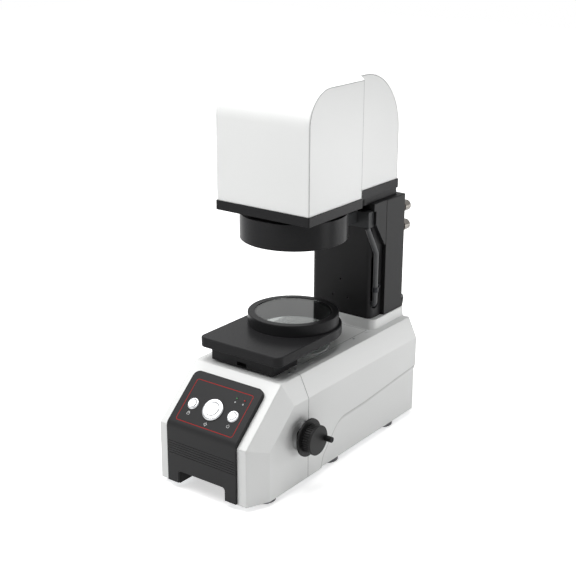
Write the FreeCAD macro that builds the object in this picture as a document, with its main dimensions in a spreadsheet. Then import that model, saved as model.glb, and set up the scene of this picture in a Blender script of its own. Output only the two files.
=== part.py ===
import FreeCAD, Part
import math
import os
import Sketcher
from FreeCAD import Placement, Rotation, Vector

# Benchtop image measuring projector: base with control fascia and handwheel,
# lifting glass stage, column, ring light and camera head. All lengths in mm.
# The machine is drawn with X across, Y to the rear from the base's front face
# and Z up from the housings' lower edge, and each piece is then shifted so
# that the row's origin is at the bottom centre of the whole machine.

SIZES = [
    # Base housings
    ("base_half", 100.0), ("base_top", 168.8), ("base_rear", 452.9), ("front_height", 93.2),
    ("slope_end", 85.1), ("seam", 133.4), ("seam_gap", 0.3), ("wall", 4.0), ("side_wall", 8.0),
    ("bevel_wide", 16.3), ("bevel_high", 34.5), ("corner_back", 36.3), ("corner_drop", 12.8), ("facet_back", 11.9),
    ("over", 1.0), ("edge_round", 1.2), ("edge_soft", 0.8),
    ("arch_half", 46.0), ("arch_top", 23.0), ("arch_depth", 60.0), ("arch_corner", 5.0),
    ("liner_wall", 2.6), ("liner_gap", 0.4),
    ("panel_border", 7.8), ("panel_front", 172.0), ("panel_margin", 2.5), ("panel_thick", 2.5),
    ("groove_gap", 0.35), ("recess_depth", 3.0), ("relief_rear_z", 84.5),
    ("relief_mid_back", 159.9), ("relief_mid_z", 71.8), ("relief_knee", 84.2),
    ("relief_knee_z", 69.8), ("relief_heel", 40.1), ("relief_heel_z", 21.2),
    ("relief_toe", 33.3), ("relief_knee_round", 45.0), ("relief_heel_round", 26.0),
    ("skirt_side", 12.1), ("skirt_out", 11.6), ("skirt_ahead", 7.0), ("pedestal_step", 3.0), ("pedestal_set", 4.5),
    ("pedestal_high", 15.9), ("pedestal_round", 12.0), ("cable_hole", 20.0),
    ("plate_thick", 3.0), ("plate_gap", 0.5),
    ("foot_radius", 20.0), ("foot_high", 8.0), ("foot_inset", 25.0), ("foot_front", 52.0),
    ("foot_rear", 68.9),
    # Control fascia and buttons; s runs up the slope, t stands out from it
    ("fascia_margin", 28.8), ("fascia_proud", 4.0), ("fascia_foot", 2.0), ("fascia_t", 7.0),
    ("fascia_s", 96.3), ("fascia_corner", 11.5), ("fascia_bend", 13.0), ("bed_gap", 0.3),
    ("rib_drop", 22.2), ("rib_pitch", 4.0), ("rib_wide", 0.9), ("rib_deep", 0.7),
    ("window_margin", 11.5), ("window_low", 14.0), ("window_top_margin", 10.3),
    ("button_s", 42.0), ("button_x", 38.7), ("small_flange", 10.0), ("small_shank", 8.0),
    ("small_cap", 6.0), ("small_rise", 2.2), ("big_flange", 18.5), ("big_shank", 15.0),
    ("big_cap", 10.6), ("big_rise", 3.0), ("cap_gap", 0.15), ("cap_stand", 0.8),
    ("shank_deep", 12.0), ("cap_deep", 8.0), ("hole_gap", 0.1), ("nut_thick", 3.0),
    ("switch_long", 16.0), ("led_s", 70.5), ("led_radius", 1.5), ("led_green_in", 9.4),
    ("led_red_out", 5.6), ("board_margin", 6.0), ("board_thick", 1.6),
    # Handwheel drive
    ("shaft_y", 113.7), ("shaft_z", 80.8), ("shaft_radius", 5.0), ("shaft_stub", 3.0),
    ("shaft_short", 5.0), ("dish_radius", 22.6), ("shaft_hole", 7.0), ("wheel_gap", 0.8),
    ("hub_long", 12.0), ("hub_radius", 12.0), ("flange_thick", 4.0), ("flange_radius", 30.0),
    ("grip_long", 13.3), ("grip_radius", 22.4), ("disc_thick", 3.5), ("disc_radius", 23.5),
    ("knurl_deep", 1.3), ("knurl_half", 1.0), ("knurl_count", 36.0), ("crank_radius", 18.4),
    ("crank_fall", 7.8), ("pin_radius", 3.0), ("pin_sunk", 11.0), ("pin_out", 11.8),
    ("pin_head", 1.8), ("sleeve_radius", 4.5), ("sleeve_gap", 0.06), ("sleeve_play", 0.3),
    ("gear_half", 8.0), ("teeth", 24.0), ("module_mm", 1.0), ("backlash", 0.2),
    ("rack_thick", 7.1), ("rack_drop", 42.8), ("fit_gap", 0.03), ("seat_gap", 0.02),
    ("slit_side", 2.0), ("clip_ring", 1.2), ("clip_gap", 0.5),
    # Lift frame and stage
    ("frame_half", 58.0), ("frame_ahead", 14.7), ("frame_drop", 6.8), ("cheek", 8.0),
    ("foot_flange", 6.0), ("shelf_low", 30.0), ("shelf_low_high", 26.0), ("shelf_high", 24.0),
    ("rod_x", 40.0), ("rod_behind", 9.2), ("rod_wall", 12.0), ("rod_radius", 6.0),
    ("rod_bottom", 14.0), ("rod_in_block", 14.0), ("rod_hole", 7.0), ("bush_radius", 10.0),
    ("shaft_bush", 9.0), ("bush_lip", 2.0),
    ("stage_gap", 3.2), ("block_half", 58.5), ("block_high", 20.0), ("block_set", 11.7),
    ("block_behind", 15.0), ("lip_out", 3.0), ("lip_thick", 2.5), ("notch_half", 9.0),
    ("notch_high", 8.0), ("notch_deep", 9.0),
    ("stage_thick", 16.2), ("stage_half", 78.5), ("stage_front", 86.3), ("stage_corner", 12.0), ("stage_round", 2.0),
    ("stage_bore", 60.0), ("axis_y", 229.0), ("ring_outer", 73.5), ("ring_high", 19.0),
    ("seat_depth", 5.0), ("glass_radius", 62.0), ("seat_ledge", 2.5), ("glass_thick", 4.2),
    # Light window and backlight in the base
    ("window_outer", 59.5), ("window_rise", 3.2), ("window_glass", 50.0), ("window_lip", 47.0),
    ("window_neck", 52.6), ("window_deep", 8.8), ("window_sink", 2.8),
    ("tube_outer", 50.0), ("tube_inner", 46.0), ("tube_flange", 60.0), ("tube_foot", 4.0),
    ("condenser_drop", 32.0), ("condenser_edge", 5.0), ("condenser_bulge", 9.0),
    ("lamp_plate_z", 14.0), ("lamp_plate_gap", 2.0), ("lamp_chip", 4.0), ("lamp_stem", 8.0),
    ("screw_out", 5.6), ("screw_rear", 49.5), ("screw_seam", 4.0), ("screw_pitch", 16.7), ("screw_head", 2.0),
    ("screw_rise", 0.6), ("tab_gap", 1.6), ("tab_wide", 8.0), ("tab_long", 12.0),
    ("tab_rise", 0.8), ("tab_round", 2.0), ("tab_ahead", 11.3), ("tab_behind", 4.8),
    # Electrics
    ("supply_inset", 16.0), ("supply_off", 12.0), ("supply_long", 115.0),
    ("supply_back", 33.0),
    ("supply_high", 44.0), ("control_inset", 18.0), ("control_off", 6.0), ("control_long", 110.0),
    ("control_back", 43.0), ("control_post", 8.0), ("post_radius", 3.0), ("post_inset", 6.0),
    ("chip_long", 24.0), ("inlet_inset", 42.0), ("inlet_z", 44.0), ("inlet_half", 25.0),
    ("inlet_high", 14.5), ("inlet_core_half", 13.7), ("inlet_core_high", 10.0),
    ("inlet_deep", 24.0), ("inlet_flange", 3.0), ("inlet_wall", 1.5), ("blade_step", 6.0),
    ("blade_half", 1.0),
    # Column
    ("column_front", 363.5), ("column_deep", 76.5),
    ("column_high", 201.0), ("column_wall", 6.0), ("column_corner", 10.0),
    ("cover_side", 7.0), ("cover_set", 33.0), ("cover_back", 14.5), ("cover_wall", 3.0), ("cover_gap", 0.3),
    ("cover_corner", 2.0), ("slot_set", 14.5), ("slot_radius", 10.5), ("slot_rise", 26.3),
    ("slot_long", 76.5), ("peep_radius", 1.6), ("peep_high", 59.8), ("peep_low", 29.7),
    ("peep_x", 15.3), ("gusset_ahead", 5.5), ("gusset_drop", 34.9),
    ("gusset_toe", 3.0), ("gusset_gap", 1.2), ("gusset_high", 75.8),
    ("arm_inset", 9.0), ("arm_ahead", 25.5), ("arm_short", 1.5), ("arm_thick", 12.3),
    ("arm_corner", 6.0),
    # Head
    ("head_plate_thick", 14.8), ("head_half", 86.9), ("head_ahead", 82.0),
    ("head_long", 140.8), ("head_slant", 31.0), ("head_tail_in", 27.5), ("head_tail_back", 3.2),
    ("head_high", 184.0), ("head_front_round", 53.0), ("head_rear_round", 102.0),
    ("head_wall", 3.5), ("plate_proud", 1.5), ("head_edge", 2.0), ("camera_roof", 16.8),
    ("lens_recess", 5.3), ("lens_radius", 50.0), ("lens_clear", 0.5), ("lens_flange", 64.0),
    ("lens_flange_thick", 6.2), ("lens_shoulder", 25.0), ("lens_waist", 27.0),
    ("lens_waist_long", 22.0), ("mount_radius", 15.0), ("mount_long", 10.0),
    ("eye_radius", 45.0), ("eye_deep", 9.0), ("eye_thick", 6.0),
    ("camera_half", 25.0), ("camera_long", 48.0),
    # Ring light
    ("lamp_outer", 85.0), ("lamp_inner", 54.0), ("lamp_neck", 72.0), ("lamp_neck_high", 5.5),
    ("lamp_high", 41.8), ("lamp_channel_wall", 4.0), ("lamp_channel_deep", 13.3),
    ("lamp_edge", 1.0), ("lamp_gap", 0.2), ("diffuser_sunk", 0.6), ("diffuser_thick", 2.0),
    ("lamp_board_thick", 3.0), ("lamp_led_ring", 69.5), ("lamp_led", 2.2),
    ("lamp_led_count", 24.0), ("carrier_side", 2.5), ("carrier_ahead", 15.5),
    ("carrier_drop", 4.2), ("carrier_high", 26.5), ("carrier_arm_half", 40.0),
    ("carrier_arm_up", 6.5), ("carrier_reach", 52.0),
    # Conduit, rear cable and connectors
    ("conduit_radius", 4.3), ("conduit_side", 0.3), ("conduit_inset", 5.0),
    ("conduit_lead", 4.5), ("conduit_set", 7.2), ("conduit_drop", 46.5), ("conduit_low", 2.5),
    ("conduit_reach", 12.0), ("conduit_slew", 5.8), ("conduit_bend", 18.0),
    ("conduit_turn", 8.5), ("clip_up", 22.0), ("clip_wide", 8.0), ("clip_thick", 1.2),
    ("cable_radius", 3.0), ("cable_inset", 7.5), ("cable_up", 17.0), ("cable_down", 9.5),
    ("cable_out", 15.0), ("cable_in", 4.0), ("cable_bend", 11.0), ("cable_lean", 7.0), ("grommet_radius", 5.0),
    ("grommet_thick", 2.2), ("plug_inset", 10.0), ("plug_drop", 26.2), ("plug_pitch", 33.5),
    ("plug_radius", 9.4), ("plug_collar", 7.6), ("plug_collar_long", 3.5), ("plug_long", 19.5),
    ("plug_well", 3.0), ("plug_rim", 1.5),
]

LEAST_CUT = 0.05
QUARTER = 90.0
PRESSURE_ANGLE = math.radians(20.0)
FLANK_STEPS = 5
FOOT_ROWS = 3
RIB_COUNT = 6
TEETH_BELOW = 12
TEETH_ABOVE = 4
AXIS_TURN = {
    "X": Rotation(Vector(0, 1, 0), QUARTER),
    "Y": Rotation(Vector(1, 0, 0), -QUARTER),
    "Z": Rotation(),
}

doc = FreeCAD.newDocument("profile_projector")
sheet = doc.addObject("Spreadsheet::Sheet", "Sizes")
for row, (alias, value) in enumerate(SIZES, start=1):
    sheet.set("A%d" % row, alias)
    sheet.set("B%d" % row, str(value))
    sheet.setAlias("B%d" % row, alias)
doc.recompute()


class Dim:
    """A length with its value and the sheet formula that gives it."""

    def __init__(self, value, formula):
        self.value = float(value)
        self.formula = formula

    def joined(self, other, sign, value):
        return Dim(value, "(%s %s %s)" % (self.formula, sign, formula_of(other)))

    def __add__(self, other):
        return self.joined(other, "+", self.value + number(other))

    def __sub__(self, other):
        return self.joined(other, "-", self.value - number(other))

    def __mul__(self, other):
        return self.joined(other, "*", self.value * number(other))

    def __truediv__(self, other):
        return self.joined(other, "/", self.value / number(other))

    def __neg__(self):
        return Dim(-self.value, "(-1 * %s)" % self.formula)

    def __radd__(self, other):
        return self + other

    def __rmul__(self, other):
        return self * other

    def __rsub__(self, other):
        return -self + other


class Sizes:
    """The sheet's cells by alias."""

    def __init__(self, rows):
        for name, value in rows:
            setattr(self, name, Dim(value, "Sizes." + name))


def number(item):
    return item.value if isinstance(item, Dim) else float(item)


def formula_of(item):
    return item.formula if isinstance(item, Dim) else "(%s)" % repr(float(item))


S = Sizes(SIZES)


def place_across():
    """Widths that follow from the sheet's sizes."""
    S.rim_half = S.base_half - S.bevel_wide
    S.panel_half = S.window_neck + S.panel_border
    S.skirt_half = S.rim_half - S.skirt_side
    S.column_half = S.skirt_half - S.skirt_out
    S.pedestal_half = S.skirt_half - S.pedestal_step
    S.plate_side = S.base_half - S.side_wall - S.plate_gap
    S.plate_nose = S.rim_half - S.wall - S.plate_gap
    S.foot_x = S.base_half - S.foot_inset
    S.fascia_half = S.button_x + S.fascia_margin
    S.window_half = S.fascia_half - S.window_margin
    S.board_half = S.window_half - S.board_margin
    S.led_green_x = S.button_x - S.led_green_in
    S.led_red_x = S.button_x + S.led_red_out
    S.screw_x = S.panel_half + S.screw_out
    S.supply_left = S.supply_inset - S.base_half
    S.control_right = S.base_half - S.control_inset
    S.inlet_x = S.inlet_inset - S.base_half
    S.hub_in = S.base_half + S.wheel_gap
    S.flange_in = S.hub_in + S.hub_long
    S.flange_out = S.flange_in + S.flange_thick
    S.disc_in = S.flange_out + S.grip_long
    S.disc_out = S.disc_in + S.disc_thick
    S.pin_root = S.disc_out - S.pin_sunk
    S.pin_tip = S.disc_out + S.pin_out
    S.shaft_right = S.disc_out - S.shaft_short
    S.shaft_left = S.frame_half + S.shaft_stub
    S.slit_half = S.gear_half + S.slit_side
    S.cheek_in = S.frame_half - S.cheek
    S.lip_half = S.block_half + S.lip_out
    S.ring_bore = S.glass_radius - S.seat_ledge
    S.cover_half = S.column_half + S.cover_side
    S.arm_half = S.cover_half - S.arm_inset
    S.head_tail_half = S.head_half - S.head_tail_in
    S.lamp_channel_in = S.lamp_inner + S.lamp_channel_wall
    S.lamp_channel_out = S.lamp_outer - S.lamp_channel_wall
    S.carrier_half = S.column_half + S.carrier_side
    S.conduit_x0 = S.carrier_half - S.conduit_inset
    S.conduit_x = S.column_half + S.conduit_radius + S.conduit_side
    S.conduit_in = S.column_half - S.conduit_reach
    S.cable_x = S.cover_half - S.cable_inset
    S.cable_foot_x = S.cable_x - S.cable_lean
    S.plug_x = S.cover_half - S.plug_inset


def place_depths():
    """Places from front to rear that follow from the sheet's sizes."""
    S.facet_end = S.slope_end + S.facet_back
    S.skirt_front = S.column_front - S.skirt_ahead
    S.pedestal_front = S.skirt_front + S.pedestal_set
    S.panel_rear = S.skirt_front - S.panel_margin
    S.screw_far = S.skirt_front - S.screw_rear
    S.screw_first = S.seam - S.screw_seam
    S.screw_near = S.screw_first + S.screw_pitch
    S.tab_front = S.panel_front + S.tab_ahead
    S.tab_rear = S.panel_rear - S.tab_behind
    S.rack_back = S.shaft_y + S.module_mm * S.teeth / 2 + S.rack_thick
    S.slit_front = S.rack_back - S.rack_thick - S.slit_side
    S.slit_rear = S.rack_back + S.slit_side
    S.frame_front = S.shaft_y - S.frame_ahead
    S.rod_y = S.rack_back + S.rod_behind
    S.frame_back = S.rod_y + S.rod_wall
    S.block_front = S.stage_front + S.block_set
    S.block_rear = S.rod_y + S.block_behind
    S.lip_front = S.block_front - S.lip_out
    S.lip_rear = S.block_rear + S.lip_out
    S.column_rear = S.column_front + S.column_deep
    S.cover_front = S.column_front + S.cover_set
    S.cover_rear = S.column_rear + S.cover_back
    S.slot_y = S.column_front + S.slot_set
    S.gusset_front = S.column_front - S.gusset_ahead
    S.gusset_rear = S.cover_front - S.gusset_gap
    S.gusset_mid = S.gusset_rear - S.gusset_toe
    S.arm_front = S.column_front - S.arm_ahead
    S.arm_rear = S.column_rear - S.arm_short
    S.head_front = S.axis_y - S.head_ahead
    S.head_step = S.head_front + S.head_long
    S.head_neck = S.head_step + S.head_slant
    S.head_rear = S.column_rear - S.head_tail_back
    S.carrier_front = S.column_front - S.carrier_ahead
    S.carrier_arm_front = S.carrier_front - S.carrier_reach
    S.conduit_y0 = S.carrier_front + S.conduit_lead
    S.conduit_y = S.column_front + S.conduit_set
    S.conduit_in_y = S.conduit_y + S.conduit_slew
    S.cable_far = S.cover_rear + S.cable_out
    S.cable_start = S.cover_rear - S.cable_in
    S.plug_collar_end = S.cover_rear + S.plug_collar_long
    S.plug_end = S.cover_rear + S.plug_long


def place_levels():
    """Heights that follow from the sheet's sizes, from the base to the head."""
    S.side_top = S.base_top - S.bevel_high
    S.corner_rise = S.front_height - S.corner_drop
    S.rib_first = S.front_height - S.rib_drop
    S.window_high = S.fascia_s - S.window_top_margin
    S.pedestal_top = S.base_top + S.pedestal_high
    S.frame_top = S.base_top - S.wall - S.frame_drop
    S.frame_foot = S.plate_thick + S.foot_flange
    S.shelf_low_top = S.shelf_low + S.shelf_low_high
    S.shelf_under = S.frame_top - S.shelf_high
    S.rack_bottom = S.shaft_z - S.rack_drop
    S.block_bottom = S.base_top + S.stage_gap
    S.rod_top = S.block_bottom + S.rod_in_block
    S.stage_bottom = S.block_bottom + S.block_high
    S.stage_top = S.stage_bottom + S.stage_thick
    S.ring_top = S.stage_top + S.ring_high
    S.ring_seat = S.ring_top - S.seat_depth
    S.window_top = S.base_top + S.window_rise
    S.window_low_z = S.base_top - S.window_deep
    S.window_seat = S.window_top - S.window_sink
    S.condenser_z = S.window_low_z - S.condenser_drop
    S.column_top = S.pedestal_top + S.column_high
    S.slot_low = S.pedestal_top + S.slot_rise
    S.slot_high = S.slot_low + S.slot_long
    S.gusset_low = S.column_top - S.gusset_drop
    S.gusset_end = S.column_top - S.gusset_high
    S.arm_top = S.column_top + S.arm_thick
    S.head_plate_top = S.arm_top + S.head_plate_thick
    S.head_top = S.head_plate_top + S.head_high
    S.lamp_top = S.arm_top - S.lamp_neck_high
    S.lamp_bottom = S.lamp_top - S.lamp_high
    S.lamp_channel_top = S.lamp_bottom + S.lamp_channel_deep
    S.lamp_board_z = S.lamp_channel_top - S.lamp_board_thick
    S.diffuser_low = S.lamp_bottom + S.diffuser_sunk
    S.lens_front = S.lamp_bottom + S.lens_recess
    S.lens_flange_top = S.head_plate_top + S.lens_flange_thick
    S.lens_body_top = S.lens_flange_top + S.lens_shoulder
    S.camera_top = S.head_top - S.camera_roof
    S.mount_top = S.camera_top - S.camera_long
    S.lens_waist_top = S.mount_top - S.mount_long
    S.lens_waist_low = S.lens_waist_top - S.lens_waist_long
    S.carrier_low = S.lamp_bottom - S.carrier_drop
    S.carrier_top = S.carrier_low + S.carrier_high
    S.carrier_arm_low = S.carrier_low + S.carrier_arm_up
    S.conduit_knee = S.carrier_low - S.conduit_drop
    S.conduit_foot = S.slot_low - S.conduit_low
    S.clip_z = S.slot_low + S.clip_up
    S.cable_high = S.pedestal_top + S.cable_up
    S.cable_low = S.base_top - S.cable_down
    S.plug_high = S.column_top - S.plug_drop
    S.plug_low = S.plug_high - S.plug_pitch


place_across()
place_depths()
place_levels()
SLOPE_RISE = S.base_top.value - S.front_height.value
SLOPE_ANGLE = math.degrees(math.atan2(SLOPE_RISE, S.slope_end.value))
SLOPE_COS = math.cos(math.radians(SLOPE_ANGLE))
SLOPE_SIN = math.sin(math.radians(SLOPE_ANGLE))

# The row's origin: middle of the machine's box, on the feet's lower faces.
MOVE = {
    "x": (S.base_half - S.pin_tip) / 2,
    "y": (S.fascia_proud - S.plug_end) / 2,
    "z": S.foot_high,
}
SHIFT = Placement(Vector(*[size.value for size in MOVE.values()]), Rotation())

finished = []


def finish(item, label, place=None):
    """Label a sub-part and put it in the row's frame."""
    item.Label = label
    item.Placement = SHIFT.multiply(place) if place else SHIFT
    for name, formula in item.ExpressionEngine:
        if "Placement" in name:
            item.setExpression(name, "%s + %s" % (formula, MOVE[name[-1]].formula))
    finished.append(item)
    return item


def bind(item, name, size):
    item.setExpression(name, formula_of(size))


def slope_point(across, up, out):
    """A point of the front slope's own frame in the machine's frame."""
    y = up * SLOPE_COS - out * SLOPE_SIN
    z = S.front_height.value + up * SLOPE_SIN + out * SLOPE_COS
    return Vector(across, y, z)


def slope_place(across, up, out):
    return Placement(slope_point(across, up, out), Rotation(Vector(1, 0, 0), SLOPE_ANGLE))


# Bodies, sketches and features

def new_body(name):
    return doc.addObject("PartDesign::Body", name)


def origin_item(body, role):
    return [item for item in body.Origin.OriginFeatures if item.Role == role][0]


def new_sketch(body, name, plane, level):
    sketch = body.newObject("Sketcher::SketchObject", name)
    sketch.AttachmentSupport = [(origin_item(body, plane + "_Plane"), "")]
    sketch.MapMode = "FlatFace"
    offset = -level if plane == "XZ" else level
    sketch.AttachmentOffset = Placement(Vector(0, 0, number(offset)), Rotation())
    bind(sketch, "AttachmentOffset.Base.z", offset)
    return sketch


def pin_point(sketch, index, end, x, y):
    for kind, value in (("DistanceX", x), ("DistanceY", y)):
        rule = sketch.addConstraint(Sketcher.Constraint(kind, -1, 1, index, end, number(value)))
        if isinstance(value, Dim):
            sketch.setExpression("Constraints[%d]" % rule, value.formula)


def outline(body, name, plane, level, points):
    """A closed sketch of straight lines through the given points."""
    sketch = new_sketch(body, name, plane, level)
    spots = [Vector(number(x), number(y), 0) for x, y in points]
    count = len(spots)
    for k in range(count):
        sketch.addGeometry(Part.LineSegment(spots[k], spots[(k + 1) % count]), False)
    for k in range(count):
        sketch.addConstraint(Sketcher.Constraint("Coincident", k, 2, (k + 1) % count, 1))
    for k, (x, y) in enumerate(points):
        pin_point(sketch, k, 1, x, y)
    return sketch


def rectangle(body, name, plane, level, low, high):
    (x0, y0), (x1, y1) = low, high
    return outline(body, name, plane, level, [(x0, y0), (x1, y0), (x1, y1), (x0, y1)])


def circles(body, name, plane, level, rounds):
    """A sketch of full circles, each (x, y, radius)."""
    sketch = new_sketch(body, name, plane, level)
    for k, (x, y, radius) in enumerate(rounds):
        centre = Vector(number(x), number(y), 0)
        sketch.addGeometry(Part.Circle(centre, Vector(0, 0, 1), number(radius)), False)
        pin_point(sketch, k, 3, x, y)
        rule = sketch.addConstraint(Sketcher.Constraint("Radius", k, number(radius)))
        sketch.setExpression("Constraints[%d]" % rule, formula_of(radius))
    return sketch


def pad(body, name, sketch, length, symmetric=False, reverse=False):
    return extrude(body, name, "PartDesign::Pad", sketch, length, symmetric, reverse)


def pocket(body, name, sketch, length, symmetric=False, reverse=False):
    return extrude(body, name, "PartDesign::Pocket", sketch, length, symmetric, reverse)


def extrude(body, name, kind, sketch, length, symmetric, reverse):
    feature = body.newObject(kind, name)
    feature.Profile = sketch
    feature.Length = number(length)
    bind(feature, "Length", length)
    feature.SideType = "Symmetric" if symmetric else "One side"
    feature.Reversed = reverse
    sketch.Visibility = False
    return feature


def loft(body, name, first, second):
    feature = body.newObject("PartDesign::AdditiveLoft", name)
    feature.Profile = first
    feature.Sections = [second]
    feature.Ruled = True
    return feature


def revolve(body, name, sketch, axis):
    feature = body.newObject("PartDesign::Revolution", name)
    feature.Profile = sketch
    feature.ReferenceAxis = (origin_item(body, axis + "_Axis"), [""])
    feature.Angle = 360.0
    return feature


def pattern_line(body, name, feature, axis, length, count):
    item = body.newObject("PartDesign::LinearPattern", name)
    item.Originals = [feature]
    item.Direction = (origin_item(body, axis + "_Axis"), [""])
    item.Length = number(length)
    bind(item, "Length", length)
    item.Occurrences = int(count)
    item.Reversed = True
    body.Tip = item
    return item


def pattern_turn(body, name, feature, axis, count):
    item = body.newObject("PartDesign::PolarPattern", name)
    item.Originals = [feature]
    item.Axis = (origin_item(body, axis + "_Axis"), [""])
    item.Angle = 360.0
    item.Occurrences = int(number(count))
    body.Tip = item
    return item


def nearest_edges(shape, spots):
    """Names of the edges that pass closest to the given points."""
    names = []
    for spot in spots:
        vertex = Part.Vertex(Vector(*[number(value) for value in spot]))
        gaps = [edge.distToShape(vertex)[0] for edge in shape.Edges]
        name = "Edge%d" % (gaps.index(min(gaps)) + 1)
        if name not in names:
            names.append(name)
    return names


def round_edges(body, name, feature, radius, spots, kind="PartDesign::Fillet"):
    doc.recompute()
    item = body.newObject(kind, name)
    item.Base = (feature, nearest_edges(feature.Shape, spots))
    size = "Radius" if kind.endswith("Fillet") else "Size"
    setattr(item, size, number(radius))
    bind(item, size, radius)
    return item


def bore(body, name, centre, axis, radius, length):
    """A round hole from the centre point along an axis letter or a rotation."""
    item = body.newObject("PartDesign::SubtractiveCylinder", name)
    bind(item, "Radius", radius)
    bind(item, "Height", length)
    turn = AXIS_TURN[axis] if isinstance(axis, str) else axis
    item.Placement = Placement(Vector(*[number(value) for value in centre]), turn)
    return item


# Solids from primitives

def box(name, low, high, place=None):
    item = doc.addObject("Part::Box", name)
    for prop, start, end in zip(("Length", "Width", "Height"), low, high):
        bind(item, prop, end - start if isinstance(end, Dim) else -(start - end))
    base = Vector(*[number(value) for value in low])
    item.Placement = place.multiply(Placement(base, Rotation())) if place else Placement(
        base, Rotation())
    if place is None:
        for letter, start in zip("xyz", low):
            if isinstance(start, Dim):
                bind(item, "Placement.Base." + letter, start)
    return item


def cylinder(name, axis, start, radius, length, place=None):
    item = doc.addObject("Part::Cylinder", name)
    bind(item, "Radius", radius)
    bind(item, "Height", length)
    own = Placement(Vector(*[number(value) for value in start]), AXIS_TURN[axis])
    item.Placement = place.multiply(own) if place else own
    if place is None:
        for letter, value in zip("xyz", start):
            if isinstance(value, Dim):
                bind(item, "Placement.Base." + letter, value)
    return item


def cut(name, base, tools):
    item = doc.addObject("Part::Cut", name)
    item.Base = base
    item.Tool = tools[0] if len(tools) == 1 else fuse(name + "_tools", tools)
    return item


def fuse(name, parts):
    item = doc.addObject("Part::MultiFuse", name)
    item.Shapes = parts
    return item


def group(name, parts):
    item = doc.addObject("Part::Compound", name)
    item.Links = parts
    return item


def tube(name, axis, start, outer, inner, length, place=None):
    skin = cylinder(name + "_outer", axis, start, outer, length, place)
    hole = cylinder(name + "_inner", axis, start, inner, length, place)
    return cut(name, skin, [hole])


# Base

def base_front_cover():
    """Front housing: fascia slope, chamfered corners, hollow inside."""
    body = new_body("front_cover")
    full = [(0, 0), (0, S.front_height), (S.slope_end, S.base_top),
            (S.seam, S.base_top), (S.seam, 0)]
    inset = [(S.corner_back, 0), (S.corner_back, S.corner_rise), (S.facet_end, S.side_top),
             (S.seam, S.side_top), (S.seam, 0)]
    pad(body, "cover_middle", outline(body, "cover_profile", "YZ", 0 * S.over, full),
        S.rim_half * 2, symmetric=True)
    for side, sign in (("right", 1), ("left", -1)):
        inner = outline(body, side + "_rim", "YZ", S.rim_half * sign, full)
        outer = outline(body, side + "_face", "YZ", S.base_half * sign, inset)
        loft(body, side + "_bevel", inner, outer)
    doc.recompute()
    slope_in = S.wall / SLOPE_COS
    back = S.seam + S.over
    low = -S.over
    rise = SLOPE_SIN / SLOPE_COS
    ceiling = S.base_top - S.wall
    hollow = [(S.wall, low), (S.wall, S.front_height + S.wall * rise - slope_in),
              (S.slope_end + (slope_in - S.wall) / rise, ceiling), (back, ceiling), (back, low)]
    pocket(body, "cavity", outline(body, "cavity_profile", "YZ", 0 * S.over, hollow),
           (S.rim_half - S.wall) * 2, symmetric=True)
    sides = [(S.corner_back + S.wall, low), (S.corner_back + S.wall, S.corner_rise),
             (S.facet_end + S.wall, S.side_top - S.wall), (back, S.side_top - S.wall),
             (back, low)]
    pocket(body, "side_cavity", outline(body, "side_profile", "YZ", 0 * S.over, sides),
           (S.base_half - S.side_wall) * 2, symmetric=True)
    half = S.arch_half + S.liner_wall + S.liner_gap
    gate = rectangle(body, "arch_outline", "XZ", -S.over, (-half, low),
                     (half, S.arch_top + S.liner_wall + S.liner_gap))
    pocket(body, "arch_gate", gate, S.wall * 3)
    opening = body.newObject("PartDesign::SubtractiveBox", "panel_window")
    bind(opening, "Length", S.window_half * 2)
    bind(opening, "Width", S.window_high - S.window_low)
    bind(opening, "Height", S.wall * 3)
    corner = slope_point(-S.window_half.value, S.window_low.value, -2 * S.wall.value)
    opening.Placement = Placement(corner, Rotation(Vector(1, 0, 0), SLOPE_ANGLE))
    slit = rectangle(body, "rack_slit", "XY", S.base_top + S.over,
                     (-S.slit_half, S.slit_front), (S.slit_half, back))
    pocket(body, "rack_way", slit, S.wall * 2)
    dish = (S.base_half - S.recess_depth, S.shaft_y, S.shaft_z)
    bore(body, "wheel_dish", dish, "X", S.dish_radius, S.recess_depth + S.over)
    bore(body, "shaft_way", (S.rim_half, S.shaft_y, S.shaft_z), "X", S.shaft_hole,
         S.base_half - S.rim_half)
    finish(body, "base_front_cover")


def corner_tab(body, name, sign, y):
    """Low rounded cover plug on the base's top, outside the inset plate."""
    near = (S.panel_half + S.tab_gap) * sign
    far = (S.panel_half + S.tab_gap + S.tab_wide) * sign
    front = y - S.tab_long / 2
    rear = y + S.tab_long / 2
    shape = rectangle(body, name + "_line", "XY", S.base_top, (near, front), (far, rear))
    plug = pad(body, name, shape, S.tab_rise)
    middle = S.base_top + S.tab_rise / 2
    round_edges(body, name + "_corners", plug, S.tab_round,
                [(near, front, middle), (near, rear, middle), (far, front, middle),
                 (far, rear, middle)])


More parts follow.
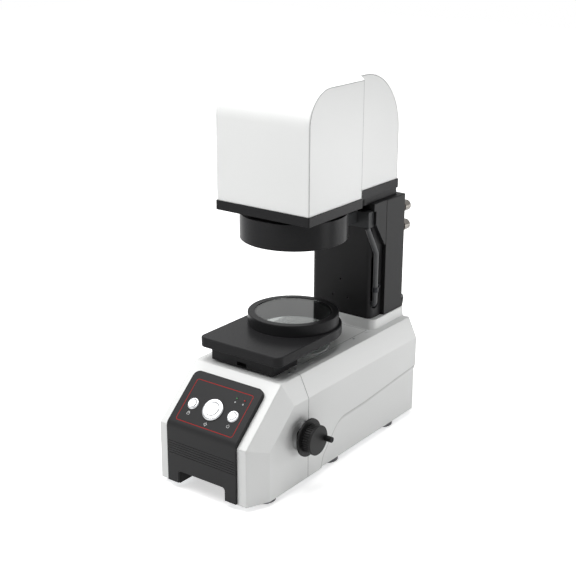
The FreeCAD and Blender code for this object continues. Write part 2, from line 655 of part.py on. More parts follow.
def base_rear_housing():
    """Rear housing with the column's pedestal, top rebate and side relief."""
    body = new_body("rear_housing")
    front = S.seam + S.seam_gap
    full = [(front, 0), (front, S.base_top), (S.base_rear, S.base_top), (S.base_rear, 0)]
    inset = [(front, 0), (front, S.side_top), (S.base_rear, S.side_top), (S.base_rear, 0)]
    pad(body, "rear_middle", outline(body, "rear_profile", "YZ", 0 * S.over, full),
        S.rim_half * 2, symmetric=True)
    for side, sign in (("right", 1), ("left", -1)):
        inner = outline(body, side + "_rear_rim", "YZ", S.rim_half * sign, full)
        outer = outline(body, side + "_rear_face", "YZ", S.base_half * sign, inset)
        loft(body, side + "_rear_bevel", inner, outer)
    foot = rectangle(body, "skirt_foot", "XY", S.base_top,
                     (-S.skirt_half, S.skirt_front), (S.skirt_half, S.base_rear))
    head = rectangle(body, "skirt_head", "XY", S.pedestal_top,
                     (-S.pedestal_half, S.pedestal_front), (S.pedestal_half, S.base_rear))
    skirt = loft(body, "pedestal", foot, head)
    middle = (S.base_top + S.pedestal_top) / 2
    front_mid = (S.skirt_front + S.pedestal_front) / 2
    side_mid = (S.skirt_half + S.pedestal_half) / 2
    round_edges(body, "pedestal_corners", skirt, S.pedestal_round,
                [(side_mid, front_mid, middle), (-side_mid, front_mid, middle)])
    for side, sign in (("right", 1), ("left", -1)):
        for place, y in (("front", S.tab_front), ("rear", S.tab_rear)):
            corner_tab(body, "%s_%s_tab" % (side, place), sign, y)
    low = -S.over
    rear = S.base_rear - S.wall
    ceiling = S.base_top - S.wall
    start = front - S.over
    room = rectangle(body, "rear_room", "YZ", 0 * S.over, (start, low), (rear, ceiling))
    pocket(body, "rear_cavity", room, (S.rim_half - S.wall) * 2, symmetric=True)
    room = rectangle(body, "side_room", "YZ", 0 * S.over, (start, low),
                     (rear, S.side_top - S.wall))
    pocket(body, "rear_side_cavity", room, (S.base_half - S.side_wall) * 2, symmetric=True)
    rebate = rectangle(body, "rebate", "XY", S.base_top + S.over,
                       (-S.panel_half, S.panel_front), (S.panel_half, S.panel_rear))
    pocket(body, "top_rebate", rebate, S.over + S.panel_thick)
    bore(body, "light_way", (0, S.axis_y, ceiling - S.over), "Z", S.window_neck + S.over,
         S.wall * 2)
    bore(body, "cable_way", (0, (S.column_front + S.column_rear) / 2, ceiling - S.over), "Z",
         S.cable_hole, S.wall * 3 + S.pedestal_high)
    slit = rectangle(body, "rear_rack_slit", "XY", S.base_top + S.over,
                     (-S.slit_half, start), (S.slit_half, S.slit_rear))
    pocket(body, "rear_rack_way", slit, S.wall * 2)
    for side, sign in (("right", 1), ("left", -1)):
        bore(body, side + "_rod_hole", (S.rod_x * sign, S.rod_y, ceiling - S.over), "Z",
             S.rod_hole, S.wall * 2)
    knee = (S.seam + S.relief_knee, S.relief_knee_z)
    heel = (S.seam + S.relief_heel, S.relief_heel_z)
    relief = [(S.base_rear + S.over, S.relief_rear_z),
              (S.base_rear - S.relief_mid_back, S.relief_mid_z), knee, heel,
              (S.seam + S.relief_toe, low), (S.base_rear + S.over, low)]
    level = S.base_half - S.recess_depth / 2
    for side, sign in (("right", 1), ("left", -1)):
        shape = outline(body, side + "_relief_line", "YZ", S.base_half * sign, relief)
        last = pocket(body, side + "_relief", shape, S.recess_depth, reverse=sign < 0)
        for name, spot, radius in (("knee", knee, S.relief_knee_round),
                                   ("heel", heel, S.relief_heel_round)):
            last = round_edges(body, "%s_%s" % (side, name), last, radius,
                               [(level * sign, spot[0], spot[1])])
    doc.recompute()
    bore(body, "cable_port", (S.cable_foot_x, rear - S.over, S.cable_low), "Y",
         S.cable_radius + S.hole_gap, S.wall + S.over * 2)
    port = rectangle(body, "inlet_port", "XZ", S.base_rear + S.over,
                     (S.inlet_x - S.inlet_core_half - S.hole_gap,
                      S.inlet_z - S.inlet_core_high - S.hole_gap),
                     (S.inlet_x + S.inlet_core_half + S.hole_gap,
                      S.inlet_z + S.inlet_core_high + S.hole_gap))
    pocket(body, "inlet_way", port, S.wall + S.over * 2, reverse=True)
    finish(body, "base_rear_housing")


def base_plate():
    """Steel bottom plate between the housings' walls, notched for the arch."""
    body = new_body("bottom_plate")
    front = S.wall + S.plate_gap
    step = S.corner_back + S.wall + S.plate_gap
    rear = S.base_rear - S.wall - S.plate_gap
    half = S.arch_half + S.liner_wall + S.liner_gap
    depth = S.arch_depth + S.liner_wall + S.liner_gap
    line = [(half, front), (S.plate_nose, front), (S.plate_nose, step), (S.plate_side, step),
            (S.plate_side, rear), (-S.plate_side, rear), (-S.plate_side, step),
            (-S.plate_nose, step), (-S.plate_nose, front), (-half, front), (-half, depth),
            (half, depth)]
    pad(body, "plate", outline(body, "plate_line", "XY", 0 * S.over, line), S.plate_thick)
    finish(body, "base_plate")


def feet():
    """Six round rubber feet."""
    pads = []
    pitch = (S.base_rear - S.foot_rear - S.foot_front) / (FOOT_ROWS - 1)
    for row in range(FOOT_ROWS):
        for side, sign in (("right", 1), ("left", -1)):
            centre = (S.foot_x * sign, S.foot_front + pitch * row)
            name = "foot_%s_%d" % (side, row)
            sole = cylinder(name + "_sole", "Z", (centre[0], centre[1], -S.foot_high),
                            S.foot_radius, S.foot_high)
            pads.append(sole)
    finish(group("feet_group", pads), "feet")


def grip_liner():
    """Channel behind the arch at the front of the base."""
    body = new_body("liner")
    outer = S.arch_half + S.liner_wall
    shell = rectangle(body, "liner_shell", "XZ", S.bed_gap,
                      (-outer, 0), (outer, S.arch_top + S.liner_wall))
    pad(body, "liner_block", shell, S.arch_depth + S.liner_wall - S.bed_gap, reverse=True)
    doc.recompute()
    room = rectangle(body, "liner_room", "XZ", S.bed_gap - S.over,
                     (-S.arch_half, -S.over), (S.arch_half, S.arch_top))
    hollow = pocket(body, "liner_hollow", room, S.arch_depth - S.bed_gap + S.over)
    round_edges(body, "liner_corners", hollow, S.arch_corner,
                [(S.arch_half, S.arch_depth / 2, S.arch_top),
                 (-S.arch_half, S.arch_depth / 2, S.arch_top)])
    finish(body, "grip_liner")


def top_panel():
    """Inset plate of the base's top, open under the light window."""
    body = new_body("panel")
    gap = S.groove_gap
    plate = rectangle(body, "panel_line", "XY", S.base_top - S.panel_thick,
                      (-S.panel_half + gap, S.panel_front + gap),
                      (S.panel_half - gap, S.panel_rear - gap))
    pad(body, "panel_plate", plate, S.panel_thick)
    ring = circles(body, "panel_hole", "XY", S.base_top + S.over,
                   [(0, S.axis_y, S.window_neck + S.groove_gap)])
    pocket(body, "panel_bore", ring, S.panel_thick * 2)
    finish(body, "top_panel")


def top_screws():
    """Small screws on the base's top, beside the seam and the inset plate."""
    screws = []
    for name, y in (("rear", S.screw_far), ("near", S.screw_near), ("front", S.screw_first)):
        for side, sign in (("right", 1), ("left", -1)):
            start = (S.screw_x * sign, y, S.base_top)
            screws.append(cylinder("screw_%s_%s" % (name, side), "Z", start,
                                   S.screw_head, S.screw_rise))
    finish(group("screw_group", screws), "top_screws")


def window_pieces():
    """Raised ring and glass of the light window in the base's top."""
    body = new_body("window_body")
    line = [(S.window_lip, S.window_low_z), (S.window_neck, S.window_low_z),
            (S.window_neck, S.base_top), (S.window_outer, S.base_top),
            (S.window_outer, S.window_top - S.edge_soft),
            (S.window_outer - S.edge_soft, S.window_top),
            (S.window_glass + S.seat_gap, S.window_top),
            (S.window_glass + S.seat_gap, S.window_seat), (S.window_lip, S.window_seat)]
    revolve(body, "window_turn", outline(body, "window_line", "XZ", 0 * S.over, line), "Z")
    finish(body, "window_ring", Placement(Vector(0, S.axis_y.value, 0), Rotation()))
    glass = cylinder("window_disc", "Z", (0, S.axis_y, S.window_seat), S.window_glass,
                     S.window_top - S.window_seat - S.groove_gap)
    finish(glass, "window_glass", glass.Placement)


def backlight_pieces():
    """Backlight tube, condenser lens and lamp board under the window."""
    body = new_body("lamp_tube")
    low = S.plate_thick
    line = [(S.tube_inner, low), (S.tube_flange, low), (S.tube_flange, low + S.tube_foot),
            (S.tube_outer, low + S.tube_foot), (S.tube_outer, S.window_low_z),
            (S.tube_inner + S.over, S.window_low_z),
            (S.tube_inner + S.over, S.condenser_z), (S.tube_inner, S.condenser_z)]
    revolve(body, "lamp_tube_turn", outline(body, "lamp_line", "XZ", 0 * S.over, line), "Z")
    at_axis = Placement(Vector(0, S.axis_y.value, 0), Rotation())
    finish(body, "backlight_tube", at_axis)

    radius = S.tube_inner + S.over - S.hole_gap
    edge = S.condenser_z + S.condenser_edge
    lens = doc.addObject("Part::Feature", "condenser")
    rim = number(radius)
    base_z = S.condenser_z.value
    edge_z = number(edge)
    crown_z = edge_z + S.condenser_bulge.value
    sag = S.condenser_bulge.value
    sphere = (rim ** 2 + sag ** 2) / (2 * sag)
    lean = math.asin(rim / sphere) / 2
    bow = Vector(sphere * math.sin(lean), 0, crown_z - sphere * (1 - math.cos(lean)))
    edges = [
        Part.LineSegment(Vector(0, 0, base_z), Vector(rim, 0, base_z)).toShape(),
        Part.LineSegment(Vector(rim, 0, base_z), Vector(rim, 0, edge_z)).toShape(),
        Part.Arc(Vector(rim, 0, edge_z), bow, Vector(0, 0, crown_z)).toShape(),
        Part.LineSegment(Vector(0, 0, crown_z), Vector(0, 0, base_z)).toShape(),
    ]
    section = Part.Face(Part.Wire(edges))
    lens.Shape = section.revolve(Vector(0, 0, 0), Vector(0, 0, 1), 360)
    finish(lens, "condenser_lens", at_axis)

    plate = cylinder("lamp_plate", "Z", (0, S.axis_y, S.lamp_plate_z),
                     S.tube_inner - S.lamp_plate_gap, S.board_thick)
    chip = cylinder("lamp_chip", "Z", (0, S.axis_y, S.lamp_plate_z), S.lamp_chip,
                    S.board_thick + S.lamp_led)
    stem = cylinder("lamp_stem", "Z", (0, S.axis_y, low), S.lamp_stem, S.lamp_plate_z - low)
    finish(fuse("lamp_fuse", [plate, chip, stem]), "backlight_board")


# Control fascia

def control_fascia():
    """One-piece black fascia bent over the front face and the slope."""
    body = new_body("fascia")
    face = -S.fascia_proud
    back = -S.bed_gap
    top_out = slope_point(0, S.fascia_s.value, S.fascia_t.value)
    top_in = slope_point(0, S.fascia_s.value, S.bed_gap.value)
    knee_s = (face.value + S.fascia_t.value * SLOPE_SIN) / SLOPE_COS
    knee = slope_point(0, knee_s, S.fascia_t.value)
    inner_s = (back.value + S.bed_gap.value * SLOPE_SIN) / SLOPE_COS
    inner = slope_point(0, inner_s, S.bed_gap.value)
    run_y = S.fascia_s * SLOPE_COS
    run_z = S.front_height + S.fascia_s * SLOPE_SIN
    line = [(face, S.fascia_foot), (face, knee.z),
            (run_y - S.fascia_t * SLOPE_SIN, run_z + S.fascia_t * SLOPE_COS),
            (run_y - S.bed_gap * SLOPE_SIN, run_z + S.bed_gap * SLOPE_COS),
            (back, inner.z), (back, S.fascia_foot)]
    block = pad(body, "fascia_pad", outline(body, "fascia_line", "YZ", 0 * S.over, line),
                S.fascia_half * 2, symmetric=True)
    bent = round_edges(body, "fascia_knee", block, S.fascia_bend, [(0, face, knee.z)])
    mid = (top_out + top_in) / 2
    corners = round_edges(body, "fascia_corners", bent, S.fascia_corner,
                          [(S.fascia_half, mid.y, mid.z), (-S.fascia_half, mid.y, mid.z)])
    round_edges(body, "fascia_border", corners, S.edge_round,
                [(0, top_out.y, top_out.z),
                 (S.fascia_half, face, (S.fascia_foot + S.front_height) / 2),
                 (-S.fascia_half, face, (S.fascia_foot + S.front_height) / 2)])
    doc.recompute()
    gate = rectangle(body, "fascia_arch", "XZ", face - S.over,
                     (-S.arch_half, -S.over), (S.arch_half, S.arch_top))
    arch = pocket(body, "arch_cut", gate, S.fascia_proud * 2)
    middle = (face + back) / 2
    round_edges(body, "arch_corners", arch, S.arch_corner,
                [(S.arch_half, middle, S.arch_top), (-S.arch_half, middle, S.arch_top)])
    turn = Rotation(Vector(1, 0, 0), SLOPE_ANGLE)
    deep = S.fascia_t * 2
    for name, x, radius in (("print", -S.button_x, S.small_shank), ("go", 0, S.big_shank),
                            ("power", S.button_x, S.small_shank)):
        spot = slope_point(number(x), S.button_s.value, -S.fascia_t.value / 2)
        bore(body, name + "_hole", spot, turn, radius + S.hole_gap, deep)
    for name, x in (("green", S.led_green_x), ("red", S.led_red_x)):
        spot = slope_point(number(x), S.led_s.value, -S.fascia_t.value / 2)
        bore(body, name + "_hole", spot, turn, S.led_radius + S.hole_gap, deep)
    groove = rectangle(body, "rib_line", "XZ", face - S.over,
                       (-S.fascia_half - S.over, S.rib_first - S.rib_wide / 2),
                       (S.fascia_half + S.over, S.rib_first + S.rib_wide / 2))
    first = pocket(body, "rib_cut", groove, S.rib_deep + S.over)
    pattern_line(body, "ribs", first, "Z", S.rib_pitch * (RIB_COUNT - 1), RIB_COUNT)
    finish(body, "control_fascia")


def button_set():
    """Bezels, caps, nuts, switches and lamps on the slope."""
    ring_line = {}
    for name, flange, shank, cap, rise in (
            ("small", S.small_flange, S.small_shank, S.small_cap, S.small_rise),
            ("big", S.big_flange, S.big_shank, S.big_cap, S.big_rise)):
        hole = cap + S.cap_gap
        ring_line[name] = [
            (hole, -S.shank_deep), (shank, -S.shank_deep), (shank, 0), (flange, 0),
            (flange, rise - S.edge_round), (flange - S.edge_round, rise), (hole, rise)]

    def bezel(name, kind, x):
        body = new_body(name)
        line = outline(body, name + "_line", "XZ", 0 * S.over, ring_line[kind])
        revolve(body, name + "_turn", line, "Z")
        return body, slope_place(number(x), S.button_s.value, S.fascia_t.value)

    body, place = bezel("go_bezel", "big", 0)
    finish(body, "measure_bezel", place)
    rings = []
    for side, sign in (("left", -1), ("right", 1)):
        place = slope_place(sign * S.button_x.value, S.button_s.value, S.fascia_t.value)
        shank = cylinder(side + "_shank", "Z", (0, 0, -S.shank_deep), S.small_shank,
                         S.shank_deep, place)
        flange = cylinder(side + "_flange", "Z", (0, 0, 0), S.small_flange,
                          S.small_rise - S.edge_round / 2, place)
        crown = doc.addObject("Part::Cone", side + "_crown")
        bind(crown, "Radius1", S.small_flange)
        bind(crown, "Radius2", S.small_flange - S.edge_round)
        bind(crown, "Height", S.edge_round / 2)
        crown.Placement = place.multiply(
            Placement(Vector(0, 0, S.small_rise.value - S.edge_round.value / 2), Rotation()))
        hole = cylinder(side + "_way", "Z", (0, 0, -S.shank_deep - S.over),
                        S.small_cap + S.cap_gap, S.shank_deep + S.small_rise + S.over * 2, place)
        solid = fuse(side + "_ring", [shank, flange, crown])
        rings.append(cut(side + "_bezel", solid, [hole]))
    finish(group("bezel_pair", rings), "small_bezels")

    for label, x, cap, rise in (("print_button", -S.button_x, S.small_cap, S.small_rise),
                                ("measure_button", 0, S.big_cap, S.big_rise),
                                ("power_button", S.button_x, S.small_cap, S.small_rise)):
        body = new_body(label + "_body")
        crown = rise + S.cap_stand
        line = outline(body, label + "_line", "XZ", 0 * S.over,
                       [(0, -S.cap_deep), (cap, -S.cap_deep), (cap, crown - S.edge_round / 2),
                        (cap - S.edge_round / 2, crown), (0, crown)])
        revolve(body, label + "_turn", line, "Z")
        finish(body, label, slope_place(number(x), S.button_s.value, S.fascia_t.value))

    nuts = []
    switches = []
    for name, x, shank in (("print", -S.button_x, S.small_shank), ("go", 0, S.big_shank),
                           ("power", S.button_x, S.small_shank)):
        place = slope_place(number(x), S.button_s.value, S.fascia_t.value)
        low = -S.fascia_t + S.bed_gap - S.nut_thick
        nuts.append(tube(name + "_nut", "Z", (0, 0, low), shank + S.nut_thick,
                         shank + S.seat_gap, S.nut_thick, place))
        start = -S.shank_deep - S.switch_long
        switches.append(cylinder(name + "_switch", "Z", (0, 0, start), shank - S.over,
                                 S.switch_long, place))
    finish(group("nut_group", nuts), "button_nuts")
    finish(group("switch_group", switches), "button_switches")

    for label, x in (("led_green", S.led_green_x), ("led_red", S.led_red_x)):
        place = slope_place(number(x), S.led_s.value, 0)
        stem = cylinder(label + "_stem", "Z", (0, 0, -S.led_radius * 2), S.led_radius,
                        S.fascia_t + S.led_radius * 2, place)
        dome = doc.addObject("Part::Sphere", label + "_dome")
        bind(dome, "Radius", S.led_radius)
        dome.Placement = place.multiply(Placement(Vector(0, 0, S.fascia_t.value), Rotation()))
        finish(fuse(label + "_fuse", [stem, dome]), label)


def panel_board():
    """Circuit board behind the fascia, parallel to the slope."""
    place = slope_place(0, 0, S.fascia_t.value)
    back = -S.shank_deep - S.switch_long
    board = box("board_slab",
                (-S.board_half, S.window_low + S.board_margin, back - S.board_thick),
                (S.board_half, S.window_high - S.board_margin, back), place)
    finish(board, "panel_board", board.Placement)


# Handwheel drive and stage lift

def tooth_outline(radius, module, teeth, play):
    """Points round a spur gear with involute flanks."""
    base = radius * math.cos(PRESSURE_ANGLE)
    root = radius - 1.25 * module
    tip = radius + module - play / 4
    half = (math.pi * module / 2 - play / 2) / (2 * radius)
    lean = math.tan(PRESSURE_ANGLE) - PRESSURE_ANGLE

    def flank(r):
        slant = math.acos(min(1.0, base / r))
        return half + lean - (math.tan(slant) - slant)

    radii = [base + (tip - base) * k / (FLANK_STEPS - 1) for k in range(FLANK_STEPS)]
    side = [(root, flank(base))] + [(r, flank(r)) for r in radii]
    points = []
    for k in range(int(teeth)):
        middle = 2 * math.pi * k / teeth
        for r, angle in side:
            points.append((r, middle - angle))
        for r, angle in reversed(side):
            points.append((r, middle + angle))
    return [Vector(0, r * math.cos(a), r * math.sin(a)) for r, a in points]


def pinion():
    """Pinion on the handwheel shaft, module 1 with 24 teeth."""
    radius = S.module_mm.value * S.teeth.value / 2
    rim = tooth_outline(radius, S.module_mm.value, S.teeth.value, S.backlash.value)
    wire = Part.makePolygon(rim + [rim[0]])
    disc = Part.Face(wire).extrude(Vector(2 * S.gear_half.value, 0, 0))
    disc.translate(Vector(-S.gear_half.value, 0, 0))
    hole_radius = S.shaft_radius.value + S.seat_gap.value
    hole = Part.makeCylinder(hole_radius, 4 * S.gear_half.value,
                             Vector(-2 * S.gear_half.value, 0, 0), Vector(1, 0, 0))
    gear = doc.addObject("Part::Feature", "pinion_gear")
    gear.Shape = disc.cut(hole)
    finish(gear, "pinion", Placement(Vector(0, S.shaft_y.value, S.shaft_z.value), Rotation()))


def rack():
    """Toothed bar that hangs from the stage block behind the pinion."""
    module = S.module_mm.value
    pitch = math.pi * module
    line_y = S.shaft_y.value + module * S.teeth.value / 2
    root_y = line_y + 1.25 * module
    tip_y = line_y - module + S.backlash.value / 4
    lean = math.tan(PRESSURE_ANGLE)
    half = pitch / 4 - S.backlash.value / 4
    points = [Vector(0, S.rack_back.value, S.rack_bottom.value),
              Vector(0, root_y, S.rack_bottom.value)]
    for k in range(-TEETH_BELOW, TEETH_ABOVE):
        middle = S.shaft_z.value + (k + 0.5) * pitch
        root_half = half + (root_y - line_y) * lean
        tip_half = half - (line_y - tip_y) * lean
        points += [Vector(0, root_y, middle - root_half), Vector(0, tip_y, middle - tip_half),
                   Vector(0, tip_y, middle + tip_half), Vector(0, root_y, middle + root_half)]
    points += [Vector(0, root_y, S.block_bottom.value),
               Vector(0, S.rack_back.value, S.block_bottom.value)]
    bar = Part.Face(Part.makePolygon(points + [points[0]]))
    item = doc.addObject("Part::Feature", "rack_bar")
    item.Shape = bar.extrude(Vector(2 * S.gear_half.value, 0, 0))
    finish(item, "rack", Placement(Vector(-S.gear_half.value, 0, 0), Rotation()))


def drive_shaft():
    """Cross shaft, its rings, and the bushes in the lift frame."""
    long = S.shaft_left + S.shaft_right
    shaft = cylinder("shaft_bar", "X", (-S.shaft_left, S.shaft_y, S.shaft_z),
                     S.shaft_radius, long)
    finish(shaft, "wheel_shaft", shaft.Placement)
    rings = []
    bushes = []
    for side, sign in (("left", -1), ("right", 1)):
        face = S.frame_half + S.clip_gap
        start = face if sign > 0 else -face - S.clip_ring
        rings.append(tube(side + "_clip", "X", (start, S.shaft_y, S.shaft_z),
                          S.shaft_radius + S.nut_thick, S.shaft_radius + S.seat_gap,
                          S.clip_ring))
        start = S.cheek_in - S.bush_lip if sign > 0 else -S.frame_half
        bushes.append(tube(side + "_bush", "X", (start, S.shaft_y, S.shaft_z), S.shaft_bush,
                           S.shaft_radius + S.fit_gap, S.cheek + S.bush_lip))
    finish(group("clip_pair", rings), "shaft_rings")
    finish(group("bush_pair", bushes), "shaft_bushes")


def handwheel():
    """Black handwheel: flange, fluted grip and end disc with the crank's hole."""
    body = new_body("wheel")
    start = S.hub_in
    line = [(start, 0), (start, S.hub_radius), (S.flange_in, S.hub_radius),
            (S.flange_in, S.flange_radius - S.over), (S.flange_in + S.over, S.flange_radius),
            (S.flange_out - S.over / 2, S.flange_radius),
            (S.flange_out, S.flange_radius - S.over / 2),
            (S.flange_out, S.grip_radius), (S.disc_in, S.grip_radius),
            (S.disc_in, S.disc_radius), (S.disc_out - S.edge_soft, S.disc_radius),
            (S.disc_out, S.disc_radius - S.edge_soft), (S.disc_out, 0)]
    revolve(body, "wheel_turn", outline(body, "wheel_line", "XY", 0 * S.over, line), "X")
    doc.recompute()
    notch = outline(body, "flute_line", "YZ", S.flange_out,
                    [(S.grip_radius - S.knurl_deep, 0 * S.over),
                     (S.grip_radius + S.over / 2, S.knurl_half + S.over / 4),
                     (S.grip_radius + S.over / 2, -S.knurl_half - S.over / 4)])
    flute = pocket(body, "flute", notch, S.disc_in - S.flange_out, reverse=True)
    pattern_turn(body, "flutes", flute, "X", S.knurl_count)
    bore(body, "shaft_seat", (start - S.over, 0, 0), "X", S.shaft_radius + S.seat_gap,
         S.shaft_right - start + S.over)
    angle = math.radians(S.crank_fall.value)
    spot = (S.pin_root, S.crank_radius * math.cos(angle), -S.crank_radius * math.sin(angle))
    bore(body, "crank_seat", spot, "X", S.pin_radius + S.seat_gap,
         S.disc_out - S.pin_root + S.over)
    finish(body, "handwheel", Placement(Vector(0, S.shaft_y.value, S.shaft_z.value), Rotation()))


def crank():
    """Crank pin screwed into the wheel, with its turning sleeve."""
    angle = math.radians(S.crank_fall.value)
    y = S.shaft_y + S.crank_radius * math.cos(angle)
    z = S.shaft_z - S.crank_radius * math.sin(angle)
    neck = S.pin_tip - S.pin_head
    stem = cylinder("pin_stem", "X", (S.pin_root, y, z), S.pin_radius,
                    neck + S.pin_head / 2 - S.pin_root)
    head = cylinder("pin_cap", "X", (neck, y, z), S.sleeve_radius, S.pin_head)
    slot = cylinder("pin_socket", "X", (S.pin_tip - S.edge_round, y, z), S.pin_radius / 2,
                    S.edge_round * 2)
    finish(cut("pin_cut", fuse("pin_fuse", [stem, head]), [slot]), "crank_pin")
    sleeve = tube("sleeve", "X", (S.disc_out + S.sleeve_play, y, z), S.sleeve_radius,
                  S.pin_radius + S.sleeve_gap, neck - S.disc_out - S.sleeve_play * 2)
    finish(sleeve, "crank_grip")


def lift_frame():
    """Cast frame on the bottom plate that holds the shaft and the bushings."""
    body = new_body("frame")
    block = rectangle(body, "frame_line", "XZ", S.frame_front,
                      (-S.frame_half, S.plate_thick), (S.frame_half, S.frame_top))
    depth = S.frame_back - S.frame_front
    pad(body, "frame_block", block, depth, reverse=True)
    doc.recompute()
    for name, low, high in (("upper_bay", S.shelf_low_top, S.shelf_under),
                            ("lower_bay", S.frame_foot, S.shelf_low)):
        bay = rectangle(body, name + "_line", "XZ", S.frame_front - S.over,
                        (-S.cheek_in, low), (S.cheek_in, high))
        pocket(body, name, bay, depth + S.over * 2)
    slit = rectangle(body, "shelf_slit", "XY", S.frame_top + S.over,
                     (-S.slit_half, S.frame_front - S.over), (S.slit_half, S.slit_rear))
    pocket(body, "rack_channel", slit, S.frame_top - S.frame_foot + S.over)
    for side, sign in (("right", 1), ("left", -1)):
        bore(body, side + "_guide", (S.rod_x * sign, S.rod_y, S.shelf_low - S.over), "Z",
             S.bush_radius + S.seat_gap, S.frame_top - S.shelf_low + S.over * 2)
    bore(body, "cross_bore", (-S.frame_half - S.over, S.shaft_y, S.shaft_z), "X",
         S.shaft_bush + S.seat_gap, S.frame_half * 2 + S.over * 2)
    finish(body, "lift_frame")

    bushings = []
    rods = []
    for side, sign in (("right", 1), ("left", -1)):
        for name, low, high in (("low", S.shelf_low, S.shelf_low_top),
                                ("high", S.shelf_under, S.frame_top)):
            bushings.append(tube("bushing_%s_%s" % (side, name), "Z",
                                 (S.rod_x * sign, S.rod_y, low), S.bush_radius,
                                 S.rod_radius + S.fit_gap, high - low))
        rods.append(cylinder(side + "_rod", "Z", (S.rod_x * sign, S.rod_y, S.rod_bottom),
                             S.rod_radius, S.rod_top - S.rod_bottom))
    finish(group("bushing_group", bushings), "linear_bushings")
    finish(group("rod_pair", rods), "guide_rods")


def stage_block():
    """Block under the stage's front edge, with a lip and a notch."""
    body = new_body("block")
    lip = rectangle(body, "lip_line", "XY", S.block_bottom,
                    (-S.lip_half, S.lip_front), (S.lip_half, S.lip_rear))
    pad(body, "lip", lip, S.lip_thick)
    core = rectangle(body, "block_line", "XY", S.block_bottom,
                     (-S.block_half, S.block_front), (S.block_half, S.block_rear))
    top = pad(body, "block_pad", core, S.stage_bottom - S.block_bottom)
    level = (S.block_bottom + S.lip_thick + S.stage_bottom) / 2
    round_edges(body, "block_corners", top, S.lip_thick,
                [(S.block_half, S.block_front, level), (-S.block_half, S.block_front, level)])
    doc.recompute()
    gate = rectangle(body, "notch_line", "XZ", S.lip_front - S.over,
                     (-S.notch_half, S.block_bottom - S.over),
                     (S.notch_half, S.block_bottom + S.notch_high))
    pocket(body, "notch", gate, S.notch_deep + S.over)
    for side, sign in (("right", 1), ("left", -1)):
        bore(body, side + "_rod_seat", (S.rod_x * sign, S.rod_y, S.block_bottom - S.over), "Z",
             S.rod_radius + S.seat_gap, S.rod_top - S.block_bottom + S.over)
    finish(body, "stage_block")


def stage_pieces():
    """Stage plate, its glass ring and the glass."""
    body = new_body("stage")
    square = rectangle(body, "stage_square", "XY", S.stage_bottom,
                       (-S.stage_half, S.stage_front), (S.stage_half, S.axis_y))
    thick = S.stage_top - S.stage_bottom
    pad(body, "stage_front_pad", square, thick)
    disc = circles(body, "stage_disc", "XY", S.stage_bottom, [(0, S.axis_y, S.stage_half)])
    whole = pad(body, "stage_rear_pad", disc, thick)
    middle = (S.stage_bottom + S.stage_top) / 2
    corners = round_edges(body, "stage_corners", whole, S.stage_corner,
                          [(S.stage_half, S.stage_front, middle),
                           (-S.stage_half, S.stage_front, middle)])
    round_edges(body, "stage_rim", corners, S.stage_round,
                [(0, S.stage_front, S.stage_top), (0, S.stage_front, S.stage_bottom)])
    doc.recompute()
    hole = circles(body, "stage_hole", "XY", S.stage_top + S.over, [(0, S.axis_y, S.stage_bore)])
    pocket(body, "stage_bore_cut", hole, thick + S.over * 2)
    finish(body, "stage_plate")

    body = new_body("holder")
    line = [(S.ring_bore, S.stage_top), (S.ring_outer, S.stage_top),
            (S.ring_outer, S.ring_top - S.edge_soft),
            (S.ring_outer - S.edge_soft, S.ring_top),
            (S.glass_radius + S.seat_gap, S.ring_top),
            (S.glass_radius + S.seat_gap, S.ring_seat), (S.ring_bore, S.ring_seat)]
    revolve(body, "holder_turn", outline(body, "holder_line", "XZ", 0 * S.over, line), "Z")
    at_axis = Placement(Vector(0, S.axis_y.value, 0), Rotation())
    finish(body, "glass_ring", at_axis)
    glass = cylinder("glass_disc", "Z", (0, S.axis_y, S.ring_seat), S.glass_radius,
                     S.glass_thick)
    finish(glass, "stage_glass", glass.Placement)


# Electrics in the base

def electrics():
    """Power supply and control board on the bottom plate."""
    rear = S.base_rear - S.supply_back
    case = box("supply_case", (S.supply_left, rear - S.supply_long, S.plate_thick),
               (-S.supply_off, rear, S.plate_thick + S.supply_high))
    finish(case, "power_supply", case.Placement)

    left = S.control_off
    right = S.control_right
    rear = S.base_rear - S.control_back
    front = rear - S.control_long
    level = S.plate_thick + S.control_post
    parts = [box("control_slab", (left, front, level), (right, rear, level + S.board_thick))]
    for k, x in enumerate((left + S.post_inset, right - S.post_inset)):
        for j, y in enumerate((front + S.post_inset, rear - S.post_inset)):
            parts.append(cylinder("post_%d_%d" % (k, j), "Z", (x, y, S.plate_thick),
                                  S.post_radius, S.control_post + S.board_thick / 2))
    middle_x = (left + right) / 2
    middle_y = (front + rear) / 2
    half = S.chip_long / 2
    parts.append(box("control_chip", (middle_x - half, middle_y - half, level),
                     (middle_x + half, middle_y + half, level + S.board_thick + S.post_radius)))
    finish(fuse("control_fuse", parts), "control_board")


def power_inlet():
    """Mains inlet in the base's rear wall, with its three blades."""
    face = S.base_rear
    low = (S.inlet_x - S.inlet_core_half, face - S.inlet_deep, S.inlet_z - S.inlet_core_high)
    high = (S.inlet_x + S.inlet_core_half, face + S.inlet_flange / 2,
            S.inlet_z + S.inlet_core_high)
    flange = box("inlet_face",
                 (S.inlet_x - S.inlet_half, face, S.inlet_z - S.inlet_high),
                 (S.inlet_x + S.inlet_half, face + S.inlet_flange, S.inlet_z + S.inlet_high))
    core = box("inlet_core", low, high)
    rim = S.inlet_wall
    well = box("inlet_well", (low[0] + rim, low[1] + S.wall, low[2] + rim),
               (high[0] - rim, face + S.wall, high[2] - rim))
    parts = [cut("inlet_shell", fuse("inlet_fuse", [flange, core]), [well])]
    half = S.blade_half
    for name, dx, dz in (("live", -1, -1), ("earth", 0, 1), ("neutral", 1, -1)):
        x = S.inlet_x + S.blade_step * dx
        z = S.inlet_z + half * 2 * dz
        parts.append(box("blade_" + name, (x - half, low[1] + rim, z - half * 2),
                         (x + half, face - S.wall, z + half * 2)))
    finish(fuse("inlet_all", parts), "power_inlet")


# Column

